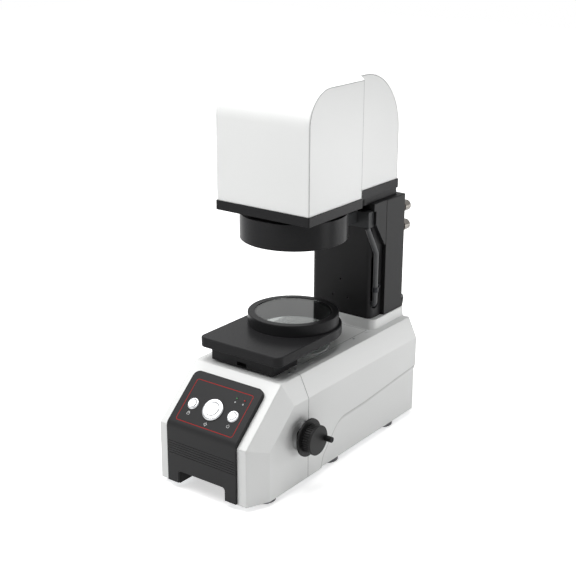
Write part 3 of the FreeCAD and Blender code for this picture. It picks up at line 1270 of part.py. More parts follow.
def column_pieces():
    """Column body, rear cover, gussets and the arm on top."""
    body = new_body("column")
    tall = S.column_top - S.pedestal_top
    shell = rectangle(body, "column_line", "XY", S.pedestal_top,
                      (-S.column_half, S.column_front), (S.column_half, S.column_rear))
    block = pad(body, "column_pad", shell, tall)
    middle = (S.pedestal_top + S.column_top) / 2
    round_edges(body, "column_corners", block, S.column_corner,
                [(S.column_half, S.column_front, middle),
                 (-S.column_half, S.column_front, middle)])
    doc.recompute()
    inner = S.column_half - S.column_wall
    room = rectangle(body, "column_room", "XY", S.column_top + S.over,
                     (-inner, S.column_front + S.column_wall),
                     (inner, S.column_rear - S.column_wall))
    pocket(body, "column_hollow", room, tall + S.over * 2)
    thick = S.column_wall + S.over * 2
    way = S.column_half - S.column_wall - S.over
    slot = rectangle(body, "slot_line", "YZ", S.column_half + S.over,
                     (S.slot_y - S.slot_radius, S.slot_low),
                     (S.slot_y + S.slot_radius, S.slot_high))
    pocket(body, "slot", slot, thick)
    bore(body, "slot_low_end", (way, S.slot_y, S.slot_low), "X", S.slot_radius, thick)
    bore(body, "slot_high_end", (way, S.slot_y, S.slot_high), "X", S.slot_radius, thick)
    for name, x, rise in (("top", 0, S.peep_high), ("left", -S.peep_x, S.peep_low),
                          ("right", S.peep_x, S.peep_low)):
        bore(body, name + "_peep", (x, S.column_front - S.over, S.pedestal_top + rise), "Y",
             S.peep_radius, S.column_wall + S.over * 2)
    finish(body, "column_body")

    body = new_body("cover")
    high = S.column_top - S.bed_gap - S.pedestal_top
    shell = rectangle(body, "cover_line", "XY", S.pedestal_top,
                      (-S.cover_half, S.cover_front), (S.cover_half, S.cover_rear))
    block = pad(body, "cover_pad", shell, high)
    top_z = S.pedestal_top + high
    soft = round_edges(body, "cover_corners", block, S.cover_corner,
                       [(S.cover_half, S.cover_rear, middle),
                        (-S.cover_half, S.cover_rear, middle)])
    round_edges(body, "cover_crest", soft, S.cover_corner, [(0, S.cover_rear, top_z)])
    doc.recompute()
    gap_half = S.column_half + S.cover_gap
    room = rectangle(body, "cover_room", "XY", top_z + S.over,
                     (-gap_half, S.cover_front - S.over),
                     (gap_half, S.column_rear + S.cover_gap))
    pocket(body, "cover_hollow", room, high + S.over * 2)
    duct = rectangle(body, "duct_line", "XY", top_z - S.cover_wall,
                     (-S.column_half, S.column_rear - S.over),
                     (S.column_half, S.cover_rear - S.cover_wall))
    pocket(body, "wire_duct", duct, high)
    bore(body, "cover_port", (S.cable_x, S.column_rear - S.over, S.cable_high), "Y",
         S.cable_radius + S.hole_gap, S.cover_rear - S.column_rear + S.over * 2)
    finish(body, "column_cover")

    plates = []
    for side, sign in (("right", 1), ("left", -1)):
        body = new_body(side + "_gusset")
        step = S.carrier_top + S.bed_gap
        notch = S.column_front + S.bed_gap
        line = [(S.gusset_front, S.column_top), (S.gusset_front, step), (notch, step),
                (notch, S.gusset_low), (S.gusset_mid, S.gusset_end),
                (S.gusset_rear, S.gusset_end), (S.gusset_rear, S.column_top)]
        start = S.column_half if sign > 0 else -S.cover_half
        pad(body, side + "_web", outline(body, side + "_web_line", "YZ", start, line),
            S.cover_half - S.column_half)
        plates.append(body)
    finish(group("gusset_pair", plates), "arm_gussets")

    body = new_body("arm")
    slab = rectangle(body, "arm_line", "XY", S.column_top,
                     (-S.arm_half, S.arm_front), (S.arm_half, S.arm_rear))
    block = pad(body, "arm_pad", slab, S.arm_top - S.column_top)
    middle = (S.column_top + S.arm_top) / 2
    round_edges(body, "arm_corners", block, S.arm_corner,
                [(S.arm_half, S.arm_front, middle), (-S.arm_half, S.arm_front, middle)])
    finish(body, "head_arm")


# Head

def head_outline(grow):
    """Plan of the head: wide front, 45 degree steps and a narrower rear."""
    front = S.head_front - grow
    step = S.head_step + grow * 0.4
    neck = S.head_neck + grow * 0.4
    rear = S.head_rear + grow
    wide = S.head_half + grow
    tail = S.head_tail_half + grow
    return [(-wide, front), (wide, front), (wide, step), (tail, neck), (tail, rear),
            (-tail, rear), (-tail, neck), (-wide, step)]


def head_pieces():
    """Head plate, cover, lens and camera."""
    body = new_body("plate_body")
    line = outline(body, "head_plate_line", "XY", S.arm_top, head_outline(S.plate_proud))
    slab = pad(body, "head_plate_pad", line, S.head_plate_top - S.arm_top)
    mid = (S.arm_top + S.head_plate_top) / 2
    front = S.head_front - S.plate_proud
    wide = S.head_half + S.plate_proud
    round_edges(body, "head_plate_corners", slab, S.head_edge,
                [(wide, front, mid), (-wide, front, mid)])
    doc.recompute()
    hole = circles(body, "lens_way", "XY", S.head_plate_top + S.over,
                   [(0, S.axis_y, S.lens_radius + S.lens_clear)])
    pocket(body, "lens_hole", hole, S.head_plate_top - S.arm_top + S.over * 2)
    finish(body, "head_plate")

    body = new_body("hood")
    low = S.head_plate_top
    line = [(S.head_front, low), (S.head_front, S.head_top), (S.head_rear, S.head_top),
            (S.head_rear, low)]
    block = pad(body, "hood_pad", outline(body, "hood_side", "YZ", 0 * S.over, line),
                S.head_half * 2, symmetric=True)
    bowed = round_edges(body, "hood_front_round", block, S.head_front_round,
                        [(0, S.head_front, S.head_top)])
    bowed = round_edges(body, "hood_rear_round", bowed, S.head_rear_round,
                        [(0, S.head_rear, S.head_top)])
    doc.recompute()
    far = S.head_rear + S.over
    out = S.head_half + S.over
    slant = (S.head_neck - S.head_step) / (S.head_half - S.head_tail_half) * S.over
    for side, sign in (("right", 1), ("left", -1)):
        trim = [(out * sign, S.head_step - slant), (S.head_tail_half * sign, S.head_neck),
                (S.head_tail_half * sign, far), (out * sign, far)]
        flank = outline(body, side + "_flank", "XY", S.head_top + S.over, trim)
        last = pocket(body, side + "_step", flank, S.head_top - low + S.over * 2)
    level = (low + S.head_top - S.head_front_round) / 2
    round_edges(body, "hood_corners", last, S.head_edge,
                [(S.head_half, S.head_front, level), (-S.head_half, S.head_front, level)])
    doc.recompute()
    wide = S.head_half - S.head_wall
    roof = S.head_top - S.head_wall
    nose = S.head_front + S.head_wall
    bend = S.head_front_round - S.head_wall
    room = outline(body, "front_room_line", "YZ", 0 * S.over,
                   [(nose, low - S.over), (nose, roof - bend), (nose + bend, roof),
                    (S.head_step, roof), (S.head_step, low - S.over)])
    pocket(body, "front_room", room, wide * 2, symmetric=True)
    tail = S.head_rear - S.head_wall
    bend = S.head_rear_round - S.head_wall
    slack = bend * (1 - math.cos(math.radians(QUARTER / 2)))
    room = outline(body, "rear_room_line", "YZ", 0 * S.over,
                   [(S.head_step - S.over, low - S.over), (S.head_step - S.over, roof),
                    (tail - bend, roof), (tail - slack, roof - slack), (tail, roof - bend),
                    (tail, low - S.over)])
    pocket(body, "rear_hollow", room, (S.head_tail_half - S.head_wall) * 2, symmetric=True)
    finish(body, "head_cover")

    body = new_body("objective")
    line = [(0, S.lens_front + S.eye_deep), (S.eye_radius, S.lens_front + S.eye_deep),
            (S.eye_radius, S.lens_front), (S.lens_radius, S.lens_front),
            (S.lens_radius, S.head_plate_top), (S.lens_flange, S.head_plate_top),
            (S.lens_flange, S.lens_flange_top), (S.lens_radius, S.lens_flange_top),
            (S.lens_radius, S.lens_body_top), (S.lens_waist, S.lens_waist_low),
            (S.lens_waist, S.lens_waist_top), (S.mount_radius, S.lens_waist_top),
            (S.mount_radius, S.mount_top), (0, S.mount_top)]
    revolve(body, "objective_turn", outline(body, "objective_line", "XZ", 0 * S.over, line), "Z")
    finish(body, "lens_barrel", Placement(Vector(0, S.axis_y.value, 0), Rotation()))
    eye = cylinder("eye_disc", "Z", (0, S.axis_y, S.lens_front + S.eye_deep - S.eye_thick),
                   S.eye_radius - S.hole_gap, S.eye_thick)
    finish(eye, "lens_glass", eye.Placement)
    camera = box("camera_case", (-S.camera_half, S.axis_y - S.camera_half, S.mount_top),
                 (S.camera_half, S.axis_y + S.camera_half, S.camera_top))
    finish(camera, "camera", camera.Placement)


# Ring light

def ring_light():
    """Ring light housing, lamp board, diffuser and its carrier on the column."""
    at_axis = Placement(Vector(0, S.axis_y.value, 0), Rotation())
    body = new_body("lamp_house")
    line = [(S.lamp_inner, S.lamp_bottom), (S.lamp_channel_in, S.lamp_bottom),
            (S.lamp_channel_in, S.lamp_channel_top), (S.lamp_channel_out, S.lamp_channel_top),
            (S.lamp_channel_out, S.lamp_bottom), (S.lamp_outer - S.lamp_edge, S.lamp_bottom),
            (S.lamp_outer, S.lamp_bottom + S.lamp_edge), (S.lamp_outer, S.lamp_top),
            (S.lamp_neck, S.lamp_top), (S.lamp_neck, S.arm_top), (S.lamp_inner, S.arm_top)]
    revolve(body, "lamp_house_turn", outline(body, "lamp_house_line", "XZ", 0 * S.over, line),
            "Z")
    finish(body, "ring_housing", at_axis)
    inner = S.lamp_channel_in + S.lamp_gap
    outer = S.lamp_channel_out - S.lamp_gap
    board = tube("lamp_ring", "Z", (0, S.axis_y, S.lamp_board_z), outer, inner,
                 S.lamp_board_thick)
    chips = [board]
    for k in range(int(S.lamp_led_count.value)):
        angle = 2 * math.pi * k / S.lamp_led_count.value
        x = S.lamp_led_ring * math.cos(angle)
        y = S.axis_y + S.lamp_led_ring * math.sin(angle)
        half = S.lamp_led / 2
        chips.append(box("chip_%d" % k, (x - half, y - half, S.lamp_board_z - half),
                         (x + half, y + half, S.lamp_board_z + half)))
    finish(fuse("lamp_board_fuse", chips), "ring_board")
    finish(tube("diffuser", "Z", (0, S.axis_y, S.diffuser_low), outer, inner,
                S.diffuser_thick), "ring_diffuser")

    body = new_body("carrier")
    slab = rectangle(body, "carrier_line", "XY", S.carrier_low,
                     (-S.carrier_half, S.carrier_front), (S.carrier_half, S.column_front))
    pad(body, "carrier_block", slab, S.carrier_top - S.carrier_low)
    reach = rectangle(body, "reach_line", "XY", S.carrier_arm_low,
                      (-S.carrier_arm_half, S.carrier_arm_front),
                      (S.carrier_arm_half, S.carrier_front + S.over))
    pad(body, "carrier_reach", reach, S.carrier_top - S.carrier_arm_low)
    doc.recompute()
    ring = circles(body, "carrier_round", "XY", S.carrier_top + S.over,
                   [(0, S.axis_y, S.lamp_outer + S.seat_gap)])
    pocket(body, "carrier_saddle", ring, S.carrier_top - S.carrier_low + S.over * 2)
    finish(body, "ring_carrier")


# Conduit, cable and connectors

def rounded_path(points, radii):
    """A wire of straight runs joined by tangent arcs, and its length."""
    edges = []
    start = points[0]
    for k in range(1, len(points) - 1):
        corner = points[k]
        into = (corner - points[k - 1]).normalize()
        away = (points[k + 1] - corner).normalize()
        turn = into.getAngle(away)
        radius = radii[k - 1]
        trim = radius * math.tan(turn / 2)
        first = corner - into * trim
        last = corner + away * trim
        inward = (away - into).normalize()
        centre = corner + inward * (radius / math.cos(turn / 2))
        middle = centre - inward * radius
        edges.append(Part.LineSegment(start, first).toShape())
        edges.append(Part.Arc(first, middle, last).toShape())
        start = last
    edges.append(Part.LineSegment(start, points[-1]).toShape())
    return Part.Wire(edges), sum(edge.Length for edge in edges)


def round_tube(name, points, radii, radius):
    wire, length = rounded_path(points, radii)
    heading = points[1] - points[0]
    circle = Part.Wire(Part.Circle(points[0], heading, radius).toShape())
    solid = wire.makePipeShell([circle], True, True)
    expected = math.pi * radius ** 2 * length
    if abs(solid.Volume - expected) > expected / 100:
        raise ValueError("%s: volume %.1f, expected %.1f" % (name, solid.Volume, expected))
    print("%s: length %.1f mm, radii %s" % (name, length, radii))
    item = doc.addObject("Part::Feature", name)
    item.Shape = solid
    return item


def conduit_pieces():
    """Bent conduit from the ring light's carrier into the column, with its clip."""
    x, y = S.conduit_x.value, S.conduit_y.value
    points = [Vector(S.conduit_x0.value, S.conduit_y0.value, S.carrier_low.value),
              Vector(x, y, S.conduit_knee.value), Vector(x, y, S.conduit_foot.value),
              Vector(S.conduit_in.value, S.conduit_in_y.value, S.conduit_foot.value)]
    radii = [S.conduit_bend.value, S.conduit_turn.value]
    lean = (points[1] - points[0]).normalize()
    points[0] = points[0] + lean * S.over.value
    pipe = round_tube("conduit_pipe", points, radii, S.conduit_radius.value)
    trimmed = pipe.Shape
    block_z = S.carrier_low.value
    reach = S.carrier_half.value
    ceiling = Part.makeBox(reach, reach, reach, Vector(0, S.carrier_front.value - reach / 2,
                                                       block_z))
    pipe.Shape = trimmed.cut(ceiling)
    finish(pipe, "conduit")

    hoop = cylinder("clip_hoop", "Z", (S.conduit_x, S.conduit_y, S.clip_z),
                    S.conduit_radius + S.clip_thick, S.clip_wide)
    strap = box("clip_strap", (S.column_half, S.conduit_y, S.clip_z),
                (S.column_half + S.clip_thick, S.cover_front - S.over, S.clip_z + S.clip_wide))
    hole = cylinder("clip_way", "Z", (S.conduit_x, S.conduit_y, S.clip_z - S.over),
                    S.conduit_radius + S.seat_gap, S.clip_wide + S.over * 2)
    reach = S.conduit_radius * 2
    wall_block = box("clip_wall",
                     (S.column_half - reach, S.conduit_y - reach, S.clip_z - S.over),
                     (S.column_half, S.conduit_y + reach, S.clip_z + S.clip_wide + S.over))
    screw = cylinder("clip_screw", "X", (S.column_half, S.cover_front - S.clip_wide,
                                         S.clip_z + S.clip_wide / 2),
                     S.screw_head, S.clip_thick * 2)
    joined = fuse("clip_fuse", [hoop, strap, screw])
    finish(cut("clip_cut", joined, [hole, wall_block]), "conduit_clip")


def rear_cable():
    """Cable looped from the column's rear cover into the base's rear face."""
    x = S.cable_x.value
    foot = S.cable_foot_x.value
    out = S.cable_far.value
    points = [Vector(x, S.cable_start.value, S.cable_high.value),
              Vector(x, out, S.cable_high.value), Vector(foot, out, S.cable_low.value),
              Vector(foot, S.base_rear.value - S.cable_in.value, S.cable_low.value)]
    radii = [S.cable_bend.value, S.cable_bend.value]
    cable = round_tube("cable_run", points, radii, S.cable_radius.value)
    finish(cable, "rear_cable")
    rings = []
    for name, x, face, z in (("high", S.cable_x, S.cover_rear, S.cable_high),
                             ("low", S.cable_foot_x, S.base_rear, S.cable_low)):
        rings.append(tube(name + "_grommet", "Y", (x, face, z), S.grommet_radius,
                          S.cable_radius + S.seat_gap, S.grommet_thick))
    finish(group("grommet_pair", rings), "cable_grommets")


def rear_connectors():
    """Two round metal connectors high on the column's rear cover."""
    shells = []
    for name, z in (("upper", S.plug_high), ("lower", S.plug_low)):
        collar = cylinder(name + "_collar", "Y", (S.plug_x, S.cover_rear, z), S.plug_collar,
                          S.plug_collar_end - S.cover_rear + S.over)
        shell = cylinder(name + "_shell", "Y", (S.plug_x, S.plug_collar_end, z), S.plug_radius,
                         S.plug_end - S.plug_collar_end)
        well = cylinder(name + "_well", "Y", (S.plug_x, S.plug_end - S.plug_well, z),
                        S.plug_radius - S.plug_rim, S.plug_well * 2)
        shells.append(cut(name + "_connector", fuse(name + "_body", [collar, shell]), [well]))
    finish(group("connector_pair", shells), "rear_connectors")


def check_document():
    """Stop if an object failed, a cut cut nothing, or a shape is not sound."""
    for item in doc.Objects:
        if "Invalid" in item.State or "Error" in item.State:
            raise ValueError("%s failed: %s" % (item.Name, item.State))
    cutters = ("PartDesign::Pocket", "PartDesign::SubtractiveBox",
               "PartDesign::SubtractiveCylinder", "PartDesign::PolarPattern",
               "PartDesign::LinearPattern")
    for body in doc.Objects:
        if body.TypeId != "PartDesign::Body":
            continue
        before = None
        for feature in body.Group:
            if feature.TypeId == "Sketcher::SketchObject":
                continue
            volume = feature.Shape.Volume
            if feature.TypeId in cutters and volume > before - LEAST_CUT:
                raise ValueError("%s cut nothing" % feature.Name)
            before = volume
        if body.Tip != [item for item in body.Group
                        if item.TypeId != "Sketcher::SketchObject"][-1]:
            raise ValueError("%s: tip is not the last feature" % body.Name)
    for item in finished:
        if item.Shape.isNull() or not item.Shape.isValid():
            raise ValueError("%s is not sound" % item.Label)


base_front_cover()
base_rear_housing()
base_plate()
feet()
grip_liner()
top_panel()
top_screws()
window_pieces()
backlight_pieces()
control_fascia()
button_set()
panel_board()
pinion()
rack()
drive_shaft()
handwheel()
crank()
lift_frame()
stage_block()
stage_pieces()
electrics()
power_inlet()
column_pieces()
head_pieces()
ring_light()
conduit_pieces()
rear_cable()
rear_connectors()
doc.recompute()
check_document()

os.makedirs("parts", exist_ok=True)
for item in finished:
    item.Shape.exportStep("parts/%s.step" % item.Label)
    box_of = item.Shape.BoundBox
    print("%-20s solids %2d  %8.1f cm3  x %7.1f %7.1f  y %7.1f %7.1f  z %6.1f %6.1f" % (
        item.Label, len(item.Shape.Solids), item.Shape.Volume / 1000, box_of.XMin, box_of.XMax,
        box_of.YMin, box_of.YMax, box_of.ZMin, box_of.ZMax))
print("pieces:", len(finished))
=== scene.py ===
import math

import bmesh
import bpy
from bpy.props import FloatProperty, FloatVectorProperty, PointerProperty
from mathutils import Matrix, Vector


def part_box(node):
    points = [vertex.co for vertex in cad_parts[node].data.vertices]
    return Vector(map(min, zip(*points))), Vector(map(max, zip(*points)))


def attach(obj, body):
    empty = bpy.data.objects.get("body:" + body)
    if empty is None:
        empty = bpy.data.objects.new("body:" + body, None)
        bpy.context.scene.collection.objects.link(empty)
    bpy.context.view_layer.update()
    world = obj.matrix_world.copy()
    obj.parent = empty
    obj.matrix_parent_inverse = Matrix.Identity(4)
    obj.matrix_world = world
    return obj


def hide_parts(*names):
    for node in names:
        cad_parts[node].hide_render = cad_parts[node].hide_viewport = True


bl_info = {
    "name": "Profile projector",
    "version": (1, 0, 0),
    "blender": (4, 5, 0),
    "location": "View3D > Sidebar > Projector",
    "description": "Dresses a benchtop profile projector and sets up its studio",
    "category": "Object",
}

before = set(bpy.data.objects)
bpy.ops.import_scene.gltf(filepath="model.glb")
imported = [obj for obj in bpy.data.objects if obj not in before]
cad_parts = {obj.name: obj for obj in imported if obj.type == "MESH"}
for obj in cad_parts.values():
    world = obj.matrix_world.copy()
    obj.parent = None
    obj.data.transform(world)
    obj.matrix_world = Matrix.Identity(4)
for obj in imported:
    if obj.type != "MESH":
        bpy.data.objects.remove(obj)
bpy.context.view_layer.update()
MM = 0.001

# The machine's own frame: middle of the front cover's lower front edge.
COVER_LOW, COVER_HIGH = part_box("base_front_cover")
MACHINE = Vector(((COVER_LOW.x + COVER_HIGH.x) / 2, COVER_LOW.y, COVER_LOW.z))

# Control slope, in the machine's frame, millimetres
FRONT_HEIGHT = 93.2
SLOPE_RUN = 85.1
SLOPE_RISE = 75.6
SLOPE_ANGLE = math.atan2(SLOPE_RISE, SLOPE_RUN)
FASCIA_THICK = 7.0
BUTTON_UP = 42.0
BUTTON_X = 38.7

# Push-buttons: name, place across the slope, cap's radius and bezel's height
BUTTONS = (
    ("print_button", -BUTTON_X, 6.0, 2.2),
    ("measure_button", 0.0, 10.6, 3.0),
    ("power_button", BUTTON_X, 6.0, 2.2),
)
# Caps: section as (share of the radius, millimetres under the crown), depth and corners
CAP_SECTION = ((0.62, -0.25), (0.66, -0.6), (0.72, -0.6), (0.76, -0.1), (0.9, 0.0))
CAP_DISH = -0.25
CAP_RIM = -0.5
CAP_STAND = 0.8
CAP_DEEP = -8.0
CAP_CORNER = 0.3
# Bezels: name, places across the slope, radii of flange, shank and hole, and height
BEZELS = (
    ("measure_bezel", (0.0,), 18.5, 15.0, 10.75, 3.0),
    ("small_bezels", (-BUTTON_X, BUTTON_X), 10.0, 8.0, 6.15, 2.2),
)
# Slopes of the bezels' inner and outer edges: width, and depth or share of the height
BEZEL_INNER = (0.5, 0.9)
BEZEL_OUTER = (0.2, 0.45)
BEZEL_CROWN = 1.6
BEZEL_DEEP = -12.0
BEZEL_CORNER = 0.7

# Printed line and marks on the slope, millimetres
LINE_HALF = 54.8
LINE_LOW = 10.6
LINE_HIGH = 82.0
LINE_CORNER = 3.6
SMALL_MARK_UP = 25.0
TARGET_UP = 17.0
SHEET_HALF = 2.4
SHEET_HIGH = 1.6
SHEET_CORNER = 0.4
PAPER_HALF = 1.4
PAPER_TOP = 3.2
TARGET_RADIUS = 2.1
TARGET_OUTER = 3.4
TARGET_INNER = 1.1
SWITCH_RADIUS = 2.3
SWITCH_LOW = 0.6
SWITCH_HIGH = 3.2
LAMP_MARK_UP = 64.4
LAMP_MARK_RADIUS = 1.0
LAMP_MARK_REACH = 1.1
GREEN_X = 29.3
RED_X = 44.3

# Base housings' joint, side, bevel and inset plate, in the machine's frame, millimetres
JOINT_Y = 133.55
JOINT_FOOT = 1.0
SIDE_X = 100.0
SIDE_TOP = 134.3
RIM_X = 83.7
BASE_TOP = 168.8
DISH_LOW = 69.0
DISH_HIGH = 92.5
JOINT_INNER = 62.0
PANEL_X = 60.4
PANEL_FRONT = 172.0
WINDOW_Y = 229.0

# Relief in the base's sides: depth, width of its slope, and its edge as (depth, height)
RELIEF_DEEP = 3.0
RELIEF_SLOPE = 9.0
RELIEF_REAR = (452.5, 84.4)
RELIEF_MIDDLE = (293.0, 71.8)
RELIEF_KNEE = (217.6, 69.8)
RELIEF_HEEL = (173.5, 21.2)
RELIEF_TOE = (167.2, 0.6)
RELIEF_KNEE_REACH = 19.3
RELIEF_HEEL_REACH = 5.8

# Block under the stage, millimetres
BLOCK_INSET = 1.0
BLOCK_ROUND = 2.5
NOTCH_HALF = 9.0
NOTCH_LOW = 1.2
NOTCH_HIGH = 8.0
NOTCH_DEEP = 9.0

# Camera head, in the machine's frame, millimetres
HEAD_FRONT_ROUND = 53.0
HEAD_REAR_ROUND = 102.0
HEAD_STEP = 287.8
HEAD_NECK = 318.8
HEAD_TAIL_IN = 27.5
SEAM_FOOT = 1.0
SEAM_PROUD = 0.04
SEAM_SUNK = 0.1

# Joint in the ring light's jacket, millimetres over its lower face
RING_SEAM_FOOT = 1.5
RING_SEAM_TOP = 41.0

# Floor's half width, and how far out it needs its whole brightness from the lift, metres
FLOOR_HALF = 6.0
FLOOR_REACH = 1.6

# Soft lights: level, place and width in metres, all aimed at the middle of the machine
SOFTBOXES = (
    ("top", (-0.5, -0.5, 1.85), 1.6),
    ("rear", (0.95, 1.15, 0.22), 0.35),
    ("front", (-0.5, -1.6, 0.2), 0.8),
    ("side", (1.2, 0.3, 0.12), 0.4),
    ("overhead", (0.0, 0.1, 2.0), 1.0),
)
LIGHT_AIM = (0.0, 0.0, 0.3)

# Camera: degrees round the machine, down and rolled, place in millimetres, lens and sensor
CAMERA_TURN = 36.5
CAMERA_DROP = 18.91
CAMERA_ROLL = 0.26
CAMERA_SPOT = (1042.145, -1193.915, 868.869)
CAMERA_LENS = 73.10
CAMERA_SENSOR = 36.0
CAMERA_FAR = 50.0

# Angle between faces, in degrees, over which an edge is drawn sharp
SHARP_ANGLE = 35

# Radii that soften the edges of anodised and of plated metal
ANODISED_EDGE = 0.5 * MM
PLATED_EDGE = 0.4 * MM

# Turns a piece's XY plane upright, facing the front
UPRIGHT = Matrix(((1, 0, 0, 0), (0, 0, -1, 0), (0, 1, 0, 0), (0, 0, 0, 1)))


def linear(code):
    """An sRGB hex colour as linear red, green and blue."""
    levels = [int(code[k:k + 2], 16) / 255 for k in (0, 2, 4)]
    return [v / 12.92 if v <= 0.04045 else ((v + 0.055) / 1.055) ** 2.4 for v in levels]


def colour(name, description, code):
    return FloatVectorProperty(name=name, description=description, subtype="COLOR", size=3,
                               min=0.0, max=1.0, default=linear(code))


def length(name, description, millimetres):
    return FloatProperty(name=name, description=description, unit="LENGTH", precision=5,
                         default=millimetres * MM, min=0.0)


class ProjectorFinishes(bpy.types.PropertyGroup):
    """Colours of the machine's finishes."""

    head_white: colour("Head white", "Powder coat of the camera head's cover", "ECEDEC")
    # A little darker than the head's white; the difference is partly painted shade for the weaker
    # light on the lower base.
    base_white: colour("Base white", "Powder coat of the base housings", "DCDDDC")
    black_coat: colour("Black coat", "Powder coat of the column and arm", "1A1A1B")
    black_oxide: colour("Black anodising", "Anodised plates, rings and lens", "262627")
    fascia_black: colour("Fascia", "Moulded control fascia", "1A1A1B")
    knob_black: colour("Handwheel", "Moulded handwheel and crank", "101010")
    line_red: colour("Panel line", "Printed line round the buttons", "9C1816")
    mark_white: colour("Panel marks", "Printed marks beside the buttons", "C9CACA")
    rubber_grey: colour("Feet", "Rubber of the feet", "5C5D5F")
    lamp_green: colour("Green lamp", "Lens of the green indicator", "0C6B2A")
    lamp_red: colour("Red lamp", "Lens of the red indicator", "9A1410")


class ProjectorTrim(bpy.types.PropertyGroup):
    """Sizes of the printed lines, the seams and the softened edges."""

    line_width: length("Panel line", "Width of the printed line round the buttons", 1.0)
    mark_width: length("Marks", "Stroke of the printed marks", 0.55)
    seam_width: length("Seams", "Width of the seams between cover sheets", 0.6)
    seam_inset: length("Seam inset", "Seams' distance from the sheets' outer edges", 1.2)
    ink_thick: length("Ink", "Height of printed ink over its surface", 0.05)
    edge_soft: length("Soft edges", "Radius that softens edges in the light", 0.9)
    base_soft: length("Soft base edges", "Radius that softens the moulded base's edges", 2.2)


class ProjectorStudio(bpy.types.PropertyGroup):
    """Levels of the studio."""

    fill: FloatProperty(name="Fill", description="Light from all round", default=0.2, min=0.0)
    top: FloatProperty(name="Top light", description="Large soft light above the machine",
                       default=35.0, min=0.0, unit="POWER")
    rear: FloatProperty(name="Rear light", description="Soft light low behind on the right",
                        default=3.1, min=0.0, unit="POWER")
    front: FloatProperty(name="Front light", description="Soft light before the fascia",
                         default=2.5, min=0.0, unit="POWER")
    side: FloatProperty(name="Side light", description="Soft light low on the right",
                        default=2.4, min=0.0, unit="POWER")
    overhead: FloatProperty(name="Overhead light", description="Soft light straight above",
                            default=13.2, min=0.0, unit="POWER")
    lift: FloatProperty(name="Floor lift", description="Light added to the floor that is seen",
                        default=0.5, min=0.0)
    floor: colour("Floor", "Pale floor and surround", "F4F4F4")


def at(x, y, z):
    """A point of the machine's frame, given in millimetres, in the row frame."""
    return MACHINE + Vector((x, y, z)) * MM


def slope_matrix(across, up, out):
    """Places a piece on the control slope, its own Z standing out from it."""
    y = up * math.cos(SLOPE_ANGLE) - out * math.sin(SLOPE_ANGLE)
    z = FRONT_HEIGHT + up * math.sin(SLOPE_ANGLE) + out * math.cos(SLOPE_ANGLE)
    return Matrix.Translation(at(across, y, z)) @ Matrix.Rotation(SLOPE_ANGLE, 4, "X")


def on_side(across, sign):
    """Places a piece's XY plane, as (depth, height), on one side of the machine."""
    turn = Matrix(((0, 0, sign, 0), (1, 0, 0, 0), (0, 1, 0, 0), (0, 0, 0, 1)))
    return Matrix.Translation(at(across * sign, 0, 0)) @ turn


# Node trees

def add_node(tree, kind, inputs=None, **settings):
    """Add a node with its settings; inputs are values or other nodes' sockets."""
    node = tree.nodes.new(kind)
    for name, value in settings.items():
        setattr(node, name, value)
    for name, value in (inputs or {}).items():
        if isinstance(value, bpy.types.NodeSocket):
            tree.links.new(value, node.inputs[name])
        else:
            node.inputs[name].default_value = value
    return node


def new_material(name):
    material = bpy.data.materials.new(name)
    material.use_nodes = True
    material.node_tree.nodes.clear()
    return material, material.node_tree


def place(tree):
    return add_node(tree, "ShaderNodeTexCoord").outputs["Object"]


def grain(tree, where, millimetres, detail=2.0):
    """Noise whose lumps are about the given size."""
    node = add_node(tree, "ShaderNodeTexNoise",
                    {"Vector": where, "Scale": 1 / (millimetres * MM), "Detail": detail})
    return node.outputs["Fac"]


def blend(tree, factor, low, high):
    """A colour between two, by a factor socket."""
    node = add_node(tree, "ShaderNodeMix", data_type="RGBA")
    tree.links.new(factor, node.inputs["Factor"])
    for index, value in ((6, low), (7, high)):
        node.inputs[index].default_value = (*value, 1.0)
    return node.outputs[2]


def spread(tree, factor, low, high):
    """A factor socket stretched between two values."""
    node = add_node(tree, "ShaderNodeMapRange",
                    {"Value": factor, "To Min": low, "To Max": high})
    return node.outputs["Result"]


def relief(tree, height, millimetres, normal=None):
    inputs = {"Height": height, "Distance": millimetres * MM}
    if normal:
        inputs["Normal"] = normal
    return add_node(tree, "ShaderNodeBump", inputs).outputs["Normal"]


def soft_edge(tree, radius):
    return add_node(tree, "ShaderNodeBevel", {"Radius": radius}, samples=6).outputs["Normal"]


def shader(tree, inputs):
    """The surface shader and the material's output."""
    surface = add_node(tree, "ShaderNodeBsdfPrincipled", inputs)
    add_node(tree, "ShaderNodeOutputMaterial", {"Surface": surface.outputs["BSDF"]})


def shade(tone, factor):
    return [min(1.0, level * factor) for level in tone]


def grained(name, pattern, tones, rough, bump=0.0, edge=0.0, **sockets):
    """A finish whose tone and height follow one pattern of (lumps in millimetres, detail).

    The roughness is a number, or a pair that follows the pattern too. The bump is in
    millimetres and the softened edge in metres.
    """
    material, tree = new_material(name)
    lumps = grain(tree, place(tree), *pattern)
    inputs = {"Base Color": blend(tree, lumps, *tones), "Roughness": rough}
    if isinstance(rough, tuple):
        inputs["Roughness"] = spread(tree, lumps, *rough)
    if bump:
        inputs["Normal"] = relief(tree, lumps, bump, soft_edge(tree, edge) if edge else None)
    for socket, value in sockets.items():
        inputs[socket.replace("_", " ")] = value
    shader(tree, inputs)
    return material


def tints(tone, low, high):
    """A tone a little darker and a little lighter."""
    return shade(tone, low), shade(tone, high)


# Finishes

def white_powder_coat(name, tone, edge):
    """Sprayed white coat: even and satin with faint orange peel, soft at the edges."""
    material, tree = new_material(name)
    where = place(tree)
    # Orange peel is about 1.5 mm; it is drawn 3 mm wide so that it shows.
    peel = grain(tree, where, 3.0)
    drift = grain(tree, where, 120.0, 1.0)
    shader(tree, {
        "Base Color": blend(tree, drift, shade(tone, 0.985), shade(tone, 1.015)),
        "Roughness": spread(tree, peel, 0.3, 0.4),
        "Normal": relief(tree, peel, 0.012, soft_edge(tree, edge)),
    })
    return material


